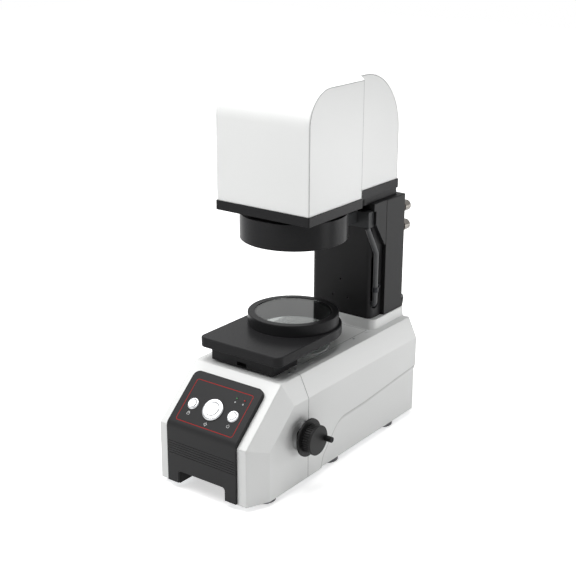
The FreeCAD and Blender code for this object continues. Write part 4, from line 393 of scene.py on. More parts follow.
def relief_slope_painted_shade(tone):
    """The housings' white coat on the relief's slope, with painted shade: darker towards the
    relief's upper edge.
    """
    material, tree = new_material("white_powder_coat_relief")
    where = place(tree)
    # Orange peel is about 1.5 mm; it is drawn 3 mm wide so that it shows.
    peel = grain(tree, where, 3.0)
    across = add_node(tree, "ShaderNodeSeparateXYZ", {"Vector": where}).outputs["X"]
    offset = add_node(tree, "ShaderNodeMath", {0: across, 1: MACHINE.x}, operation="SUBTRACT")
    reach = add_node(tree, "ShaderNodeMath", {0: offset.outputs[0]}, operation="ABSOLUTE")
    height = add_node(tree, "ShaderNodeMapRange",
                      {"Value": reach.outputs[0], "From Min": (SIDE_X - RELIEF_DEEP) * MM,
                       "From Max": SIDE_X * MM})
    shader(tree, {
        # Painted shade: the tone falls to 0.45 of itself from the relief's floor up to its edge.
        "Base Color": blend(tree, height.outputs["Result"], tone, shade(tone, 0.45)),
        "Roughness": spread(tree, peel, 0.3, 0.4),
        "Normal": relief(tree, peel, 0.012),
    })
    return material


def black_powder_coat(tone, edge):
    """Fine-textured coat on steel: dark, even, with a dull spread highlight."""
    material, tree = new_material("black_powder_coat")
    where = place(tree)
    # The texture's grains are about 0.4 mm, drawn 1.2 mm wide so that they show.
    grit = grain(tree, where, 1.2, 3.0)
    drift = grain(tree, where, 90.0, 1.0)
    shader(tree, {
        "Base Color": blend(tree, drift, shade(tone, 0.92), shade(tone, 1.1)),
        "Roughness": spread(tree, grit, 0.44, 0.58),
        "Specular IOR Level": 0.15,
        "Normal": relief(tree, grit, 0.03, soft_edge(tree, edge)),
    })
    return material


def anodised_aluminium(name, tone, edge):
    """Bead-blasted and anodised aluminium: an even dyed tone with a fine satin sheen."""
    # Bead blasting leaves dimples of 0.1 mm, drawn 0.9 mm wide so that they show.
    return grained(name, (0.9, 2.0), tints(tone, 0.85, 1.15), (0.24, 0.34), 0.012, edge,
                   Specular_IOR_Level=0.06)


def moulded_abs(name, tone, rough, spark_mm, edge_mm=0.5):
    """Plastic from a spark-textured mould: matt black with a soft grain."""
    return grained(name, (spark_mm, 4.0), tints(tone, 0.9, 1.1), (rough - 0.06, rough + 0.06),
                   0.03, edge_mm * MM, Specular_IOR_Level=0.2)


def printed_ink(name, tone):
    """Screen-printed ink: flat colour, a little duller than the plastic under it."""
    # The screen's mesh is about 0.1 mm, drawn 0.8 mm wide so that it shows.
    return grained(name, (0.8, 2.0), tints(tone, 0.92, 1.05), 0.55,
                   Specular_IOR_Level=0.12)


def turned_metal(name, tone, rough, spin, pitch_mm):
    """Plated metal cut on a lathe: fine rings round its own axis catch the light."""
    # The tool's rings are about 0.1 mm apart, drawn coarser so that they show.
    material, tree = new_material(name)
    where = place(tree)
    node = add_node(tree, "ShaderNodeMapping", {"Vector": where}, vector_type="TEXTURE")
    node.inputs["Location"].default_value = spin.to_translation()
    node.inputs["Rotation"].default_value = spin.to_euler()
    rings = add_node(tree, "ShaderNodeTexWave",
                     {"Vector": node.outputs["Vector"], "Scale": 1 / (pitch_mm * MM) / 20,
                      "Distortion": 0.0},
                     wave_type="RINGS", rings_direction="Z")
    shader(tree, {
        "Base Color": (*tone, 1.0),
        "Metallic": 1.0,
        "Roughness": spread(tree, rings.outputs["Fac"], rough - 0.03, rough + 0.05),
        "Normal": relief(tree, rings.outputs["Fac"], 0.004),
    })
    return material


def chrome_plate():
    """Bright nickel-chrome plate: mirror-like with faint waviness."""
    bright = linear("B2B3B5")
    return grained("chrome_plate", (4.0, 2.0), (bright, bright), (0.08, 0.16), 0.01, PLATED_EDGE,
                   Metallic=1.0)


def nickel_plate():
    """Satin nickel plate on the connectors: warm grey metal, slightly clouded."""
    return grained("satin_nickel_plate", (3.0, 2.0), (linear("66635F"), linear("7F7B76")),
                   (0.16, 0.28), 0.01, PLATED_EDGE, Metallic=1.0)


def ground_steel():
    """Ground and polished steel: grey metal with fine lines along the grinding."""
    material, tree = new_material("ground_steel")
    lay = add_node(tree, "ShaderNodeMapping", {"Vector": place(tree)})
    lay.inputs["Scale"].default_value = (1.0, 1.0, 0.08)
    # Grinding lines are under 0.1 mm, drawn 0.6 mm wide so that they show.
    lines = grain(tree, lay.outputs["Vector"], 0.6, 3.0)
    shader(tree, {
        "Base Color": blend(tree, lines, linear("A9ABAE"), linear("BFC1C4")),
        "Metallic": 1.0,
        "Roughness": spread(tree, lines, 0.22, 0.36),
    })
    return material


def blackened_steel():
    """Oxide-blackened steel strap: dark metal with a dull oily gleam."""
    return grained("blackened_steel", (3.0, 3.0), (linear("1E1E20"), linear("2E2F32")),
                   (0.3, 0.45), Metallic=1.0)


def sintered_bronze():
    """Oil-filled bronze bush: warm metal with open pores."""
    # Pores are about 0.1 mm, drawn 0.8 mm wide so that they show.
    return grained("sintered_bronze", (0.8, 4.0), (linear("8C6A3A"), linear("B08A4C")),
                   (0.35, 0.55), 0.03, Metallic=1.0)


def cast_aluminium():
    """Sand-cast and blasted aluminium: pale grey, rough, with a lumpy skin."""
    return grained("cast_aluminium", (2.5, 5.0), (linear("9B9DA0"), linear("B4B6B8")),
                   (0.45, 0.62), 0.12, Metallic=1.0)


def zinc_plated_sheet():
    """Zinc-plated steel sheet: grey with a soft spangle."""
    material, tree = new_material("zinc_plated_sheet")
    spangle = add_node(tree, "ShaderNodeTexVoronoi",
                       {"Vector": place(tree), "Scale": 1 / (9.0 * MM)}).outputs["Distance"]
    shader(tree, {
        "Base Color": blend(tree, spangle, linear("A2A6AA"), linear("BCC0C3")),
        "Metallic": 1.0,
        "Roughness": spread(tree, spangle, 0.34, 0.48),
    })
    return material


def moulded_rubber(tone):
    """Moulded rubber: dull grey with a bloom that lightens it in patches."""
    return grained("moulded_rubber", (7.0, 3.0), tints(tone, 0.9, 1.12), (0.68, 0.82), 0.05)


def cable_jacket(name, tone, rough):
    """Extruded PVC jacket: black with a slight waxy shine and shallow waves."""
    return grained(name, (5.0, 2.0), tints(tone, 0.9, 1.15), (rough - 0.05, rough + 0.05), 0.04)


def optical_glass(name, tone, haze, bend):
    """Polished crown glass with a trace of surface haze."""
    material, tree = new_material(name)
    film = grain(tree, place(tree), 14.0, 3.0)
    shader(tree, {
        "Base Color": (*tone, 1.0),
        "Roughness": spread(tree, film, 0.02, 0.06),
        "IOR": bend,
        "Transmission Weight": 1.0 - haze,
    })
    return material


def coated_lens():
    """Glass with an antireflection coat: dark, with a violet-green cast."""
    material, tree = new_material("coated_lens")
    tilt = add_node(tree, "ShaderNodeLayerWeight", {"Blend": 0.4}).outputs["Facing"]
    shader(tree, {
        "Base Color": blend(tree, tilt, linear("151A2C"), linear("2B3F3A")),
        "Roughness": 0.03,
        "IOR": 1.52,
        "Coat Weight": 0.6,
    })
    return material


def opal_diffuser():
    """Opal acrylic under the lamps: milky white that passes light softly."""
    return grained("opal_diffuser", (10.0, 2.0), (linear("E6E8E6"), linear("F0F1F0")),
                   0.4, IOR=1.49, Transmission_Weight=0.35)


def printed_circuit():
    """Solder-masked glass-fibre board: dark green with paler copper tracks under it."""
    material, tree = new_material("printed_circuit")
    tracks = add_node(tree, "ShaderNodeTexBrick",
                      {"Vector": place(tree), "Scale": 1 / (6.0 * MM), "Mortar Size": 0.06,
                       "Color1": (*linear("12402A"), 1.0), "Color2": (*linear("16492F"), 1.0),
                       "Mortar": (*linear("2A6B48"), 1.0)})
    shader(tree, {
        "Base Color": tracks.outputs["Color"],
        "Roughness": 0.32,
        "Coat Weight": 0.3,
    })
    return material


def tinted_lens(name, tone):
    """Tinted indicator lens: dark unlit plastic with depth."""
    return grained(name, (1.5, 2.0), tints(tone, 0.8, 1.2), 0.15, IOR=1.49, Coat_Weight=0.5)


def dark_seam():
    """Shadow in the narrow joint between two coated sheets."""
    return grained("dark_seam", (6.0, 3.0), (linear("858787"), linear("9A9C9C")), 0.7)


def joint_shade():
    """Deep shade in the open joints between the white housings."""
    return grained("joint_shade", (6.0, 3.0), (linear("4A4B4B"), linear("5E6060")), 0.75)


FINISH = {}


def finish(name, maker, *values):
    """One shared material per finish."""
    if name not in FINISH:
        FINISH[name] = maker(*values)
    return FINISH[name]


def coat(material, *nodes):
    """Give CAD nodes a material."""
    for node in nodes:
        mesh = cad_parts[node].data
        mesh.materials.clear()
        mesh.materials.append(material)
        mesh.polygons.foreach_set("material_index", [0] * len(mesh.polygons))


def black_oxide():
    options = bpy.context.scene.projector_finishes
    return finish("black_oxide", anodised_aluminium, "black_anodised_aluminium",
                  options.black_oxide, ANODISED_EDGE)


def black_moulding():
    """Finish of the plastic pieces inside the base."""
    # Spark texture is about 0.3 mm, drawn 1 mm wide so that it shows.
    return finish("liner", moulded_abs, "moulded_abs_liner", linear("161617"), 0.6, 1.0)


# Shapes

def new_piece(name, mesh_maker, material, body, matrix=None):
    """A mesh piece filled by a bmesh function, placed, finished and riding a body."""
    mesh = bpy.data.meshes.new(name)
    shape = bmesh.new()
    mesh_maker(shape)
    bmesh.ops.recalc_face_normals(shape, faces=shape.faces)
    shape.to_mesh(mesh)
    shape.free()
    mesh.polygons.foreach_set("use_smooth", [True] * len(mesh.polygons))
    mesh.set_sharp_from_angle(angle=math.radians(SHARP_ANGLE))
    mesh.materials.append(material)
    if matrix:
        mesh.transform(matrix)
    piece = bpy.data.objects.new(name, mesh)
    bpy.context.scene.collection.objects.link(piece)
    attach(piece, body)
    return piece


def rounded_loop(half, low, high, radius, steps=10):
    """Points round a rectangle with rounded corners, in millimetres."""
    points = []
    for x, y, start in ((half - radius, high - radius, 0), (radius - half, high - radius, 90),
                        (radius - half, low + radius, 180), (half - radius, low + radius, 270)):
        for k in range(steps + 1):
            angle = math.radians(start + 90 * k / steps)
            points.append((x + radius * math.cos(angle), y + radius * math.sin(angle)))
    return points


def arc_points(centre, radius, start, end, steps=24):
    """Points along an arc, angles in degrees."""
    points = []
    for k in range(steps + 1):
        angle = math.radians(start + (end - start) * k / steps)
        points.append((centre[0] + radius * math.cos(angle),
                       centre[1] + radius * math.sin(angle)))
    return points


def sweep(shape, path, section, closed):
    """A section of (side, level) points along a path in the XY plane, in millimetres."""
    count = len(path)
    rails = []
    for k, (x, y) in enumerate(path):
        before = path[k - 1] if closed or k else path[k]
        after = path[(k + 1) % count] if closed or k + 1 < count else path[k]
        into = Vector((x - before[0], y - before[1]))
        away = Vector((after[0] - x, after[1] - y))
        into = into.normalized() if into.length else away.normalized()
        away = away.normalized() if away.length else into
        middle = (into + away).normalized()
        side = Vector((-middle.y, middle.x))
        side /= max(0.3, side.dot(Vector((-into.y, into.x))))
        rails.append([shape.verts.new(Vector((x + side.x * reach, y + side.y * reach, level)) * MM)
                      for reach, level in section])
    for k in range(count if closed else count - 1):
        here, there = rails[k], rails[(k + 1) % count]
        for j in range(len(section)):
            after = (j + 1) % len(section)
            shape.faces.new((here[j], here[after], there[after], there[j]))
    if not closed:
        shape.faces.new(rails[0])
        shape.faces.new(rails[-1])


def strip(shape, path, width, top, bottom, closed):
    """A flat strip of even width along a path in the XY plane, all in millimetres."""
    half = width / 2
    section = ((half, top), (-half, top), (-half, bottom), (half, bottom))
    sweep(shape, path, section, closed)


def lathe(shape, profile, steps=72):
    """A turned form from (radius, height) points in millimetres, round its own Z axis."""
    verts = [shape.verts.new((radius * MM, 0.0, height * MM)) for radius, height in profile]
    edges = [shape.edges.new(pair) for pair in zip(verts, verts[1:])]
    bmesh.ops.spin(shape, geom=verts + edges, cent=(0, 0, 0), axis=(0, 0, 1),
                   angle=2 * math.pi, steps=steps, use_duplicate=False)
    bmesh.ops.remove_doubles(shape, verts=shape.verts, dist=0.002 * MM)


def notched_block(shape, loop, bottom, top, notch):
    """A block over a rounded loop with a blind notch in its front face, in millimetres."""
    rows = [[shape.verts.new(Vector((x, y, level)) * MM) for x, y in loop]
            for level in (bottom, top)]
    # The front side is the loop's last straight side, where its fourth corner starts.
    corner = len(loop) * 3 // 4
    for k in range(len(loop)):
        if k != corner - 1:
            after = (k + 1) % len(loop)
            shape.faces.new((rows[0][k], rows[0][after], rows[1][after], rows[1][k]))
    for row in rows:
        shape.faces.new(row)
    half, low, high, deep = notch
    front = loop[corner][1]
    mouth, floor = ([shape.verts.new(Vector((x, y, z)) * MM)
                     for x, z in ((-half, low), (half, low), (half, high), (-half, high))]
                    for y in (front, front + deep))
    face = (rows[0][corner - 1], rows[0][corner], rows[1][corner], rows[1][corner - 1])
    for k in range(4):
        after = (k + 1) % 4
        shape.faces.new((face[k], face[after], mouth[after], mouth[k]))
        shape.faces.new((mouth[k], mouth[after], floor[after], floor[k]))
    shape.faces.new(floor)


def eased_corner(before, corner, after, reach, steps):
    """Points round one corner, starting and ending at a reach from it."""
    corner = Vector(corner)
    into = corner - Vector(before)
    away = Vector(after) - corner
    reach = min(reach, into.length / 2.2, away.length / 2.2)
    first = corner - into.normalized() * reach
    last = corner + away.normalized() * reach
    points = []
    for k in range(steps + 1):
        t = k / steps
        spot = first * (1 - t) ** 2 + corner * 2 * t * (1 - t) + last * t ** 2
        points.append((spot.x, spot.y))
    return points


def rounded_profile(points, reach, steps=5):
    """A profile with its inner corners rounded, in millimetres."""
    line = [points[0]]
    for before, corner, after in zip(points, points[1:], points[2:]):
        line += eased_corner(before, corner, after, reach, steps)
    line.append(points[-1])
    return line


# Operators

class PieceOperator:
    """Common settings of the dressing operators."""

    bl_options = {"REGISTER", "UNDO"}

    def execute(self, context):
        self.dress(context.scene.projector_finishes, context.scene.projector_trim)
        return {"FINISHED"}


class PROJECTOR_OT_base(PieceOperator, bpy.types.Operator):
    """Coat the base housings and the inset top plate"""

    bl_idname = "projector.dress_base"
    bl_label = "Base housings"

    def dress(self, colours, trim):
        white = finish("base_white", white_powder_coat, "white_powder_coat_base",
                       colours.base_white, trim.base_soft)
        coat(white, "base_front_cover", "base_rear_housing", "top_panel")
        coat(finish("clear_anodised", anodised_aluminium, "clear_anodised_aluminium",
                    linear("B0B2B2"), ANODISED_EDGE), "window_ring")
        coat(finish("zinc", zinc_plated_sheet), "base_plate")
        coat(finish("steel", ground_steel), "top_screws")
        coat(black_moulding(), "grip_liner")
        self.draw_joints(trim)
        self.slope_reliefs(colours)

    def draw_joints(self, trim):
        """Lines of shade in the joint between the housings and round the inset pieces."""
        shade_line = finish("joint", joint_shade)
        wide = trim.seam_width / MM / 2
        for side, sign in (("right", 1), ("left", -1)):
            over = [(SIDE_X * sign, DISH_HIGH), (SIDE_X * sign, SIDE_TOP),
                    (RIM_X * sign, BASE_TOP), (JOINT_INNER * sign, BASE_TOP)]
            under = [(SIDE_X * sign, JOINT_FOOT), (SIDE_X * sign, DISH_LOW)]

            def lines(shape, paths=(over, under)):
                for path in paths:
                    strip(shape, path, SEAM_SUNK, wide, -wide, closed=False)

            new_piece("housing_joint_" + side, lines, shade_line, "machine",
                      Matrix.Translation(at(0, JOINT_Y, 0)) @ UPRIGHT)
        low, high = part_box("window_ring")
        radius = (high.x - low.x) / 2 / MM + wide
        rear = (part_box("top_panel")[1].y - MACHINE.y) / MM
        plate = [(-PANEL_X, PANEL_FRONT), (PANEL_X, PANEL_FRONT), (PANEL_X, rear),
                 (-PANEL_X, rear)]

        def rounds(shape):
            strip(shape, plate, wide * 2, SEAM_PROUD, -SEAM_SUNK, closed=True)
            strip(shape, arc_points((0, WINDOW_Y), radius, 0, 354, 59), wide * 2, SEAM_PROUD,
                  -SEAM_SUNK, closed=True)

        new_piece("inset_joints", rounds, shade_line, "machine",
                  Matrix.Translation(at(0, 0, BASE_TOP)))

    def slope_reliefs(self, colours):
        """Slopes that lead from the base's sides down into their reliefs, coloured with painted
        shade under the relief's edge.
        """
        path = [RELIEF_REAR, RELIEF_MIDDLE]
        path += eased_corner(RELIEF_MIDDLE, RELIEF_KNEE, RELIEF_HEEL, RELIEF_KNEE_REACH, 12)
        path += eased_corner(RELIEF_KNEE, RELIEF_HEEL, RELIEF_TOE, RELIEF_HEEL_REACH, 6)
        path.append(RELIEF_TOE)
        slope = ((0.0, -SEAM_PROUD), (0.0, -RELIEF_DEEP), (RELIEF_SLOPE, -RELIEF_DEEP))
        for side, sign in (("right", 1), ("left", -1)):
            new_piece("relief_slope_" + side,
                      lambda shape: sweep(shape, path, slope, closed=False),
                      finish("relief_slope", relief_slope_painted_shade, colours.base_white),
                      "machine", on_side(SIDE_X, sign))


class PROJECTOR_OT_feet(PieceOperator, bpy.types.Operator):
    """Give the feet their moulded rubber"""

    bl_idname = "projector.dress_feet"
    bl_label = "Feet"

    def dress(self, colours, trim):
        coat(finish("rubber", moulded_rubber, colours.rubber_grey), "feet", "cable_grommets")


class PROJECTOR_OT_fascia(PieceOperator, bpy.types.Operator):
    """Finish the control fascia, its printed line and the marks beside the buttons"""

    bl_idname = "projector.dress_fascia"
    bl_label = "Control fascia"

    def dress(self, colours, trim):
        # Spark texture is about 0.3 mm, drawn 1 mm wide so that it shows.
        coat(finish("fascia", moulded_abs, "moulded_abs_fascia", colours.fascia_black, 0.5, 1.0,
                    1.2), "control_fascia")
        top = trim.ink_thick / MM
        on_slope = slope_matrix(0, 0, FASCIA_THICK)
        loop = rounded_loop(LINE_HALF, LINE_LOW, LINE_HIGH, LINE_CORNER)
        new_piece("panel_line", lambda shape: strip(shape, loop, trim.line_width / MM, top, -top,
                                                    closed=True),
                  finish("red_ink", printed_ink, "red_screen_ink", colours.line_red),
                  "machine", on_slope)
        stroke = trim.mark_width / MM

        def marks(shape):
            for path, closed in mark_paths():
                strip(shape, path, stroke, top, -top, closed)

        new_piece("panel_marks", marks,
                  finish("white_ink", printed_ink, "white_screen_ink", colours.mark_white),
                  "machine", on_slope)


def mark_paths():
    """Plain signs under the buttons and lamps, as (path, closed) in millimetres."""
    return sheet_mark() + target_mark() + switch_mark() + lamp_marks()


def sheet_mark():
    """A printer with its sheet, under the left button."""
    low, high = SMALL_MARK_UP - SHEET_HIGH, SMALL_MARK_UP + SHEET_HIGH
    box = [(x - BUTTON_X, y) for x, y in rounded_loop(SHEET_HALF, low, high, SHEET_CORNER, 3)]
    left, right = -BUTTON_X - PAPER_HALF, -BUTTON_X + PAPER_HALF
    top = SMALL_MARK_UP + PAPER_TOP
    return [(box, True), ([(left, high), (left, top), (right, top), (right, high)], False)]


def target_mark():
    """A ring with four ticks, under the middle button."""
    paths = [(arc_points((0, TARGET_UP), TARGET_RADIUS, 0, 345), True)]
    for x, y in ((-1, 0), (1, 0), (0, -1), (0, 1)):
        paths.append(([(x * reach, TARGET_UP + y * reach)
                       for reach in (TARGET_OUTER, TARGET_INNER)], False))
    return paths


def switch_mark():
    """An open ring with a bar, under the right button."""
    return [(arc_points((BUTTON_X, SMALL_MARK_UP), SWITCH_RADIUS, 125, 415), False),
            ([(BUTTON_X, SMALL_MARK_UP + SWITCH_LOW), (BUTTON_X, SMALL_MARK_UP + SWITCH_HIGH)],
             False)]


def lamp_marks():
    """A ring under the green lamp and a struck ring under the red one."""
    paths = [(arc_points((x, LAMP_MARK_UP), LAMP_MARK_RADIUS, 0, 330, 12), True)
             for x in (GREEN_X, RED_X)]
    paths.append(([(RED_X - LAMP_MARK_REACH, LAMP_MARK_UP - LAMP_MARK_REACH),
                   (RED_X + LAMP_MARK_REACH, LAMP_MARK_UP + LAMP_MARK_REACH)], False))
    return paths


class PROJECTOR_OT_buttons(PieceOperator, bpy.types.Operator):
    """Build the turned bezels and caps of the push-buttons, and finish the lamps"""

    bl_idname = "projector.build_buttons"
    bl_label = "Push-buttons and lamps"

    def dress(self, colours, trim):
        chrome = finish("chrome", chrome_plate)
        for name, x, cap, rise in BUTTONS:
            spot = slope_matrix(x, BUTTON_UP, FASCIA_THICK)
            satin = turned_metal("satin_chrome_" + name, linear("D6D7D8"), 0.3, spot, 0.5)
            crown = rise + CAP_STAND
            profile = [(0.0, crown + CAP_DISH)]
            profile += [(cap * share, crown + sunk) for share, sunk in CAP_SECTION]
            profile += [(cap, crown + CAP_RIM), (cap, CAP_DEEP), (0.0, CAP_DEEP)]
            profile = rounded_profile(profile, CAP_CORNER)
            piece = new_piece(name + "_cap", lambda shape, line=profile: lathe(shape, line),
                              satin, name + "_body", spot)
            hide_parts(name)
        for name, across, flange, shank, hole, rise in BEZELS:
            profile = rounded_profile(
                [(hole, BEZEL_DEEP), (hole, rise - BEZEL_INNER[1]),
                 (hole + BEZEL_INNER[0], rise), (flange - BEZEL_CROWN, rise),
                 (flange - BEZEL_OUTER[0], rise * BEZEL_OUTER[1]),
                 (flange, 0.0), (shank, 0.0), (shank, BEZEL_DEEP), (hole, BEZEL_DEEP)],
                BEZEL_CORNER)

            def build(shape, line=profile, places=across):
                for x in places:
                    ring = bmesh.new()
                    lathe(ring, line)
                    bmesh.ops.transform(ring, matrix=slope_matrix(x, BUTTON_UP, FASCIA_THICK),
                                        verts=ring.verts)
                    part = bpy.data.meshes.new("ring")
                    ring.to_mesh(part)
                    ring.free()
                    shape.from_mesh(part)
                    bpy.data.meshes.remove(part)

            piece = new_piece(name + "_turned", build, chrome, "machine")
            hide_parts(name)
        coat(finish("green_lamp", tinted_lens, "green_lamp_lens", colours.lamp_green),
             "led_green")
        coat(finish("red_lamp", tinted_lens, "red_lamp_lens", colours.lamp_red), "led_red")
        coat(finish("steel", ground_steel), "button_nuts")
        coat(black_moulding(), "button_switches")
        coat(finish("circuit", printed_circuit), "panel_board")


class PROJECTOR_OT_handwheel(PieceOperator, bpy.types.Operator):
    """Finish the handwheel, its crank pin and sleeve"""

    bl_idname = "projector.dress_handwheel"
    bl_label = "Handwheel"

    def dress(self, colours, trim):
        # The mould's grain is about 0.2 mm, drawn 0.8 mm wide so that it shows.
        coat(finish("knob", moulded_abs, "moulded_nylon_knob", colours.knob_black, 0.48, 0.8),
             "handwheel", "crank_grip")
        coat(finish("steel", ground_steel), "wheel_shaft")
        coat(black_oxide(), "crank_pin")


class PROJECTOR_OT_drive(PieceOperator, bpy.types.Operator):
    """Finish the lift drive inside the base"""

    bl_idname = "projector.dress_drive"
    bl_label = "Lift drive"

    def dress(self, colours, trim):
        coat(finish("steel", ground_steel), "pinion", "rack", "shaft_rings",
             "linear_bushings", "guide_rods")
        coat(finish("bronze", sintered_bronze), "shaft_bushes")
        coat(finish("casting", cast_aluminium), "lift_frame")


class PROJECTOR_OT_stage_table(PieceOperator, bpy.types.Operator):
    """Finish the stage plate, its block, ring and glass"""

    bl_idname = "projector.dress_stage_table"
    bl_label = "Stage"

    def dress(self, colours, trim):
        coat(black_oxide(), "stage_plate", "glass_ring")
        low, high = (tuple((v - o) / MM for v, o in zip(corner, MACHINE))
                     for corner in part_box("stage_block"))
        half = high[0] - BLOCK_INSET
        loop = rounded_loop(half, low[1] + BLOCK_INSET, high[1] - BLOCK_INSET, BLOCK_ROUND, 6)
        notch = (NOTCH_HALF, low[2] + NOTCH_LOW, low[2] + NOTCH_HIGH, NOTCH_DEEP)
        block = new_piece("stage_block_milled",
                          lambda shape: notched_block(shape, loop, low[2], high[2], notch),
                          black_oxide(), "stage",
                          Matrix.Translation(MACHINE))
        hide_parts("stage_block")
        coat(finish("stage_glass", optical_glass, "grey_stage_glass",
                    linear("919593"), 0.02, 1.36), "stage_glass")


class PROJECTOR_OT_backlight(PieceOperator, bpy.types.Operator):
    """Finish the light window and the lamp under it"""

    bl_idname = "projector.dress_backlight"
    bl_label = "Backlight"

    def dress(self, colours, trim):
        coat(black_oxide(), "backlight_tube")
        coat(finish("clear_glass", optical_glass, "clear_window_glass",
                    linear("E9EFEC"), 0.05, 1.52), "window_glass")
        coat(finish("coated_lens", coated_lens), "condenser_lens")
        coat(finish("circuit", printed_circuit), "backlight_board")


class PROJECTOR_OT_electrics(PieceOperator, bpy.types.Operator):
    """Finish the power supply, the control board and the mains inlet"""

    bl_idname = "projector.dress_electrics"
    bl_label = "Electrics"

    def dress(self, colours, trim):
        coat(finish("zinc", zinc_plated_sheet), "power_supply")
        coat(finish("circuit", printed_circuit), "control_board")
        coat(black_moulding(), "power_inlet")


class PROJECTOR_OT_column(PieceOperator, bpy.types.Operator):
    """Coat the column, its rear cover, gussets and arm"""

    bl_idname = "projector.dress_column"
    bl_label = "Column"

    def dress(self, colours, trim):
        black = finish("black_coat", black_powder_coat, colours.black_coat, trim.edge_soft)
        coat(black, "column_body", "column_cover", "arm_gussets", "head_arm")


class PROJECTOR_OT_head(PieceOperator, bpy.types.Operator):
    """Coat the camera head and draw the seams round its side sheets"""

    bl_idname = "projector.dress_head"
    bl_label = "Camera head"

    def dress(self, colours, trim):
        white = finish("head_white", white_powder_coat, "white_powder_coat_head",
                       colours.head_white, trim.edge_soft)
        coat(white, "head_cover")
        coat(black_oxide(), "head_plate", "lens_barrel", "camera")
        coat(finish("coated_lens", coated_lens), "lens_glass")
        seam = finish("seam", dark_seam)
        low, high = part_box("head_cover")
        half = (high.x - low.x) / 2 / MM
        front, rear = ((edge.y - MACHINE.y) / MM for edge in (low, high))
        bottom, top = ((edge.z - MACHINE.z) / MM for edge in (low, high))
        inset = trim.seam_inset / MM
        front_bend, rear_bend = HEAD_FRONT_ROUND, HEAD_REAR_ROUND
        foot = bottom + SEAM_FOOT
        nose = [(front + inset, foot)]
        nose += arc_points((front + front_bend, top - front_bend), front_bend - inset, 180, 90)
        nose += [(HEAD_STEP - inset / 2, top - inset), (HEAD_STEP - inset / 2, foot)]
        tail = [(HEAD_NECK, top - inset)]
        tail += arc_points((rear - rear_bend, top - rear_bend), rear_bend - inset, 90, 0)
        tail += [(rear - inset, foot)]
        for part, path, inward in (("nose", nose, 0.0), ("tail", tail, HEAD_TAIL_IN)):
            for side, sign in (("right", 1), ("left", -1)):
                new_piece("head_%s_seam_%s" % (part, side),
                          lambda shape, line=path: strip(shape, line, trim.seam_width / MM,
                                                         SEAM_PROUD, -SEAM_SUNK, closed=False),
                          seam, "machine", on_side(half - inward, sign))


class PROJECTOR_OT_ring_light(PieceOperator, bpy.types.Operator):
    """Finish the ring light and its carrier"""

    bl_idname = "projector.dress_ring_light"
    bl_label = "Ring light"

    def dress(self, colours, trim):
        coat(black_oxide(), "ring_housing")
        # Painted light: the carrier's grey is lighter than the black anodising round it, standing
        # in for light it does not get under the head.
        coat(finish("bracket_painted_light", anodised_aluminium, "grey_anodised_bracket",
                    linear("3E3F40"), ANODISED_EDGE), "ring_carrier")
        low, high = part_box("ring_housing")
        radius = (high.x - low.x) / 2 / MM
        bottom = (low.z - MACHINE.z) / MM
        spot = Vector(((low.x + high.x) / 2, (low.y + high.y) / 2 - radius * MM, MACHINE.z))
        path = [(0, bottom + RING_SEAM_FOOT), (0, bottom + RING_SEAM_TOP)]
        new_piece("ring_light_seam",
                  lambda shape: strip(shape, path, trim.seam_width / MM, 0.0, -SEAM_SUNK,
                                      closed=False),
                  finish("blackened", blackened_steel), "machine",
                  Matrix.Translation(spot) @ UPRIGHT)
        coat(finish("circuit", printed_circuit), "ring_board")
        coat(finish("opal", opal_diffuser), "ring_diffuser")


class PROJECTOR_OT_cables(PieceOperator, bpy.types.Operator):
    """Finish the conduit, the rear cable, its clip and the rear connectors"""

    bl_idname = "projector.dress_cables"
    bl_label = "Cables and connectors"

    def dress(self, colours, trim):
        coat(finish("conduit", cable_jacket, "conduit_sleeve", linear("2C2D2F"), 0.5),
             "conduit")
        coat(finish("cable", cable_jacket, "pvc_cable_jacket", linear("19191A"), 0.4),
             "rear_cable")
        coat(finish("blackened", blackened_steel), "conduit_clip")
        coat(finish("nickel", nickel_plate), "rear_connectors")


class PROJECTOR_OT_studio(bpy.types.Operator):
    """Lay the pale floor, light the studio and place the camera"""

    bl_idname = "projector.build_studio"
    bl_label = "Studio"
    bl_options = {"REGISTER", "UNDO"}

    def execute(self, context):
        levels = context.scene.projector_studio
        lay_floor(levels)
        light_world(levels)
        for level, spot, size in SOFTBOXES:
            hang_softbox(level + "_softbox", Vector(spot), size, getattr(levels, level))
        place_camera()
        context.scene.view_settings.view_transform = "Standard"
        return {"FINISHED"}


def seen_ray(tree):
    """1 for what the camera sees, straight, in a mirror or through glass."""
    path = add_node(tree, "ShaderNodeLightPath")
    seen = path.outputs["Is Camera Ray"]
    for kind in ("Is Glossy Ray", "Is Transmission Ray"):
        seen = add_node(tree, "ShaderNodeMath", {0: seen, 1: path.outputs[kind]},
                        operation="MAXIMUM").outputs[0]
    return seen


def lay_floor(levels):
    mesh = bpy.data.meshes.new("floor")
    shape = bmesh.new()
    bmesh.ops.create_grid(shape, x_segments=2, y_segments=2, size=FLOOR_HALF)
    shape.to_mesh(mesh)
    shape.free()
    material, tree = new_material("pale_studio_floor")
    paint = add_node(tree, "ShaderNodeBsdfDiffuse", {"Color": (*levels.floor, 1.0)})
    # The lamps reach less far than the floor, so the lift grows away from the machine.
    metres = add_node(tree, "ShaderNodeMapping", {"Vector": place(tree)})
    metres.inputs["Scale"].default_value = (1 / FLOOR_REACH,) * 3
    nearness = add_node(tree, "ShaderNodeTexGradient", {"Vector": metres.outputs["Vector"]},
                        gradient_type="SPHERICAL").outputs["Fac"]
    strength = add_node(tree, "ShaderNodeMath",
                        {0: spread(tree, nearness, 1.0, levels.lift), 1: seen_ray(tree)},
                        operation="MULTIPLY").outputs[0]
    lift = add_node(tree, "ShaderNodeEmission", {"Strength": strength})
    both = add_node(tree, "ShaderNodeAddShader", {0: paint.outputs[0], 1: lift.outputs[0]})
    add_node(tree, "ShaderNodeOutputMaterial", {"Surface": both.outputs[0]})
    mesh.materials.append(material)
    floor = bpy.data.objects.new("floor", mesh)
    bpy.context.scene.collection.objects.link(floor)


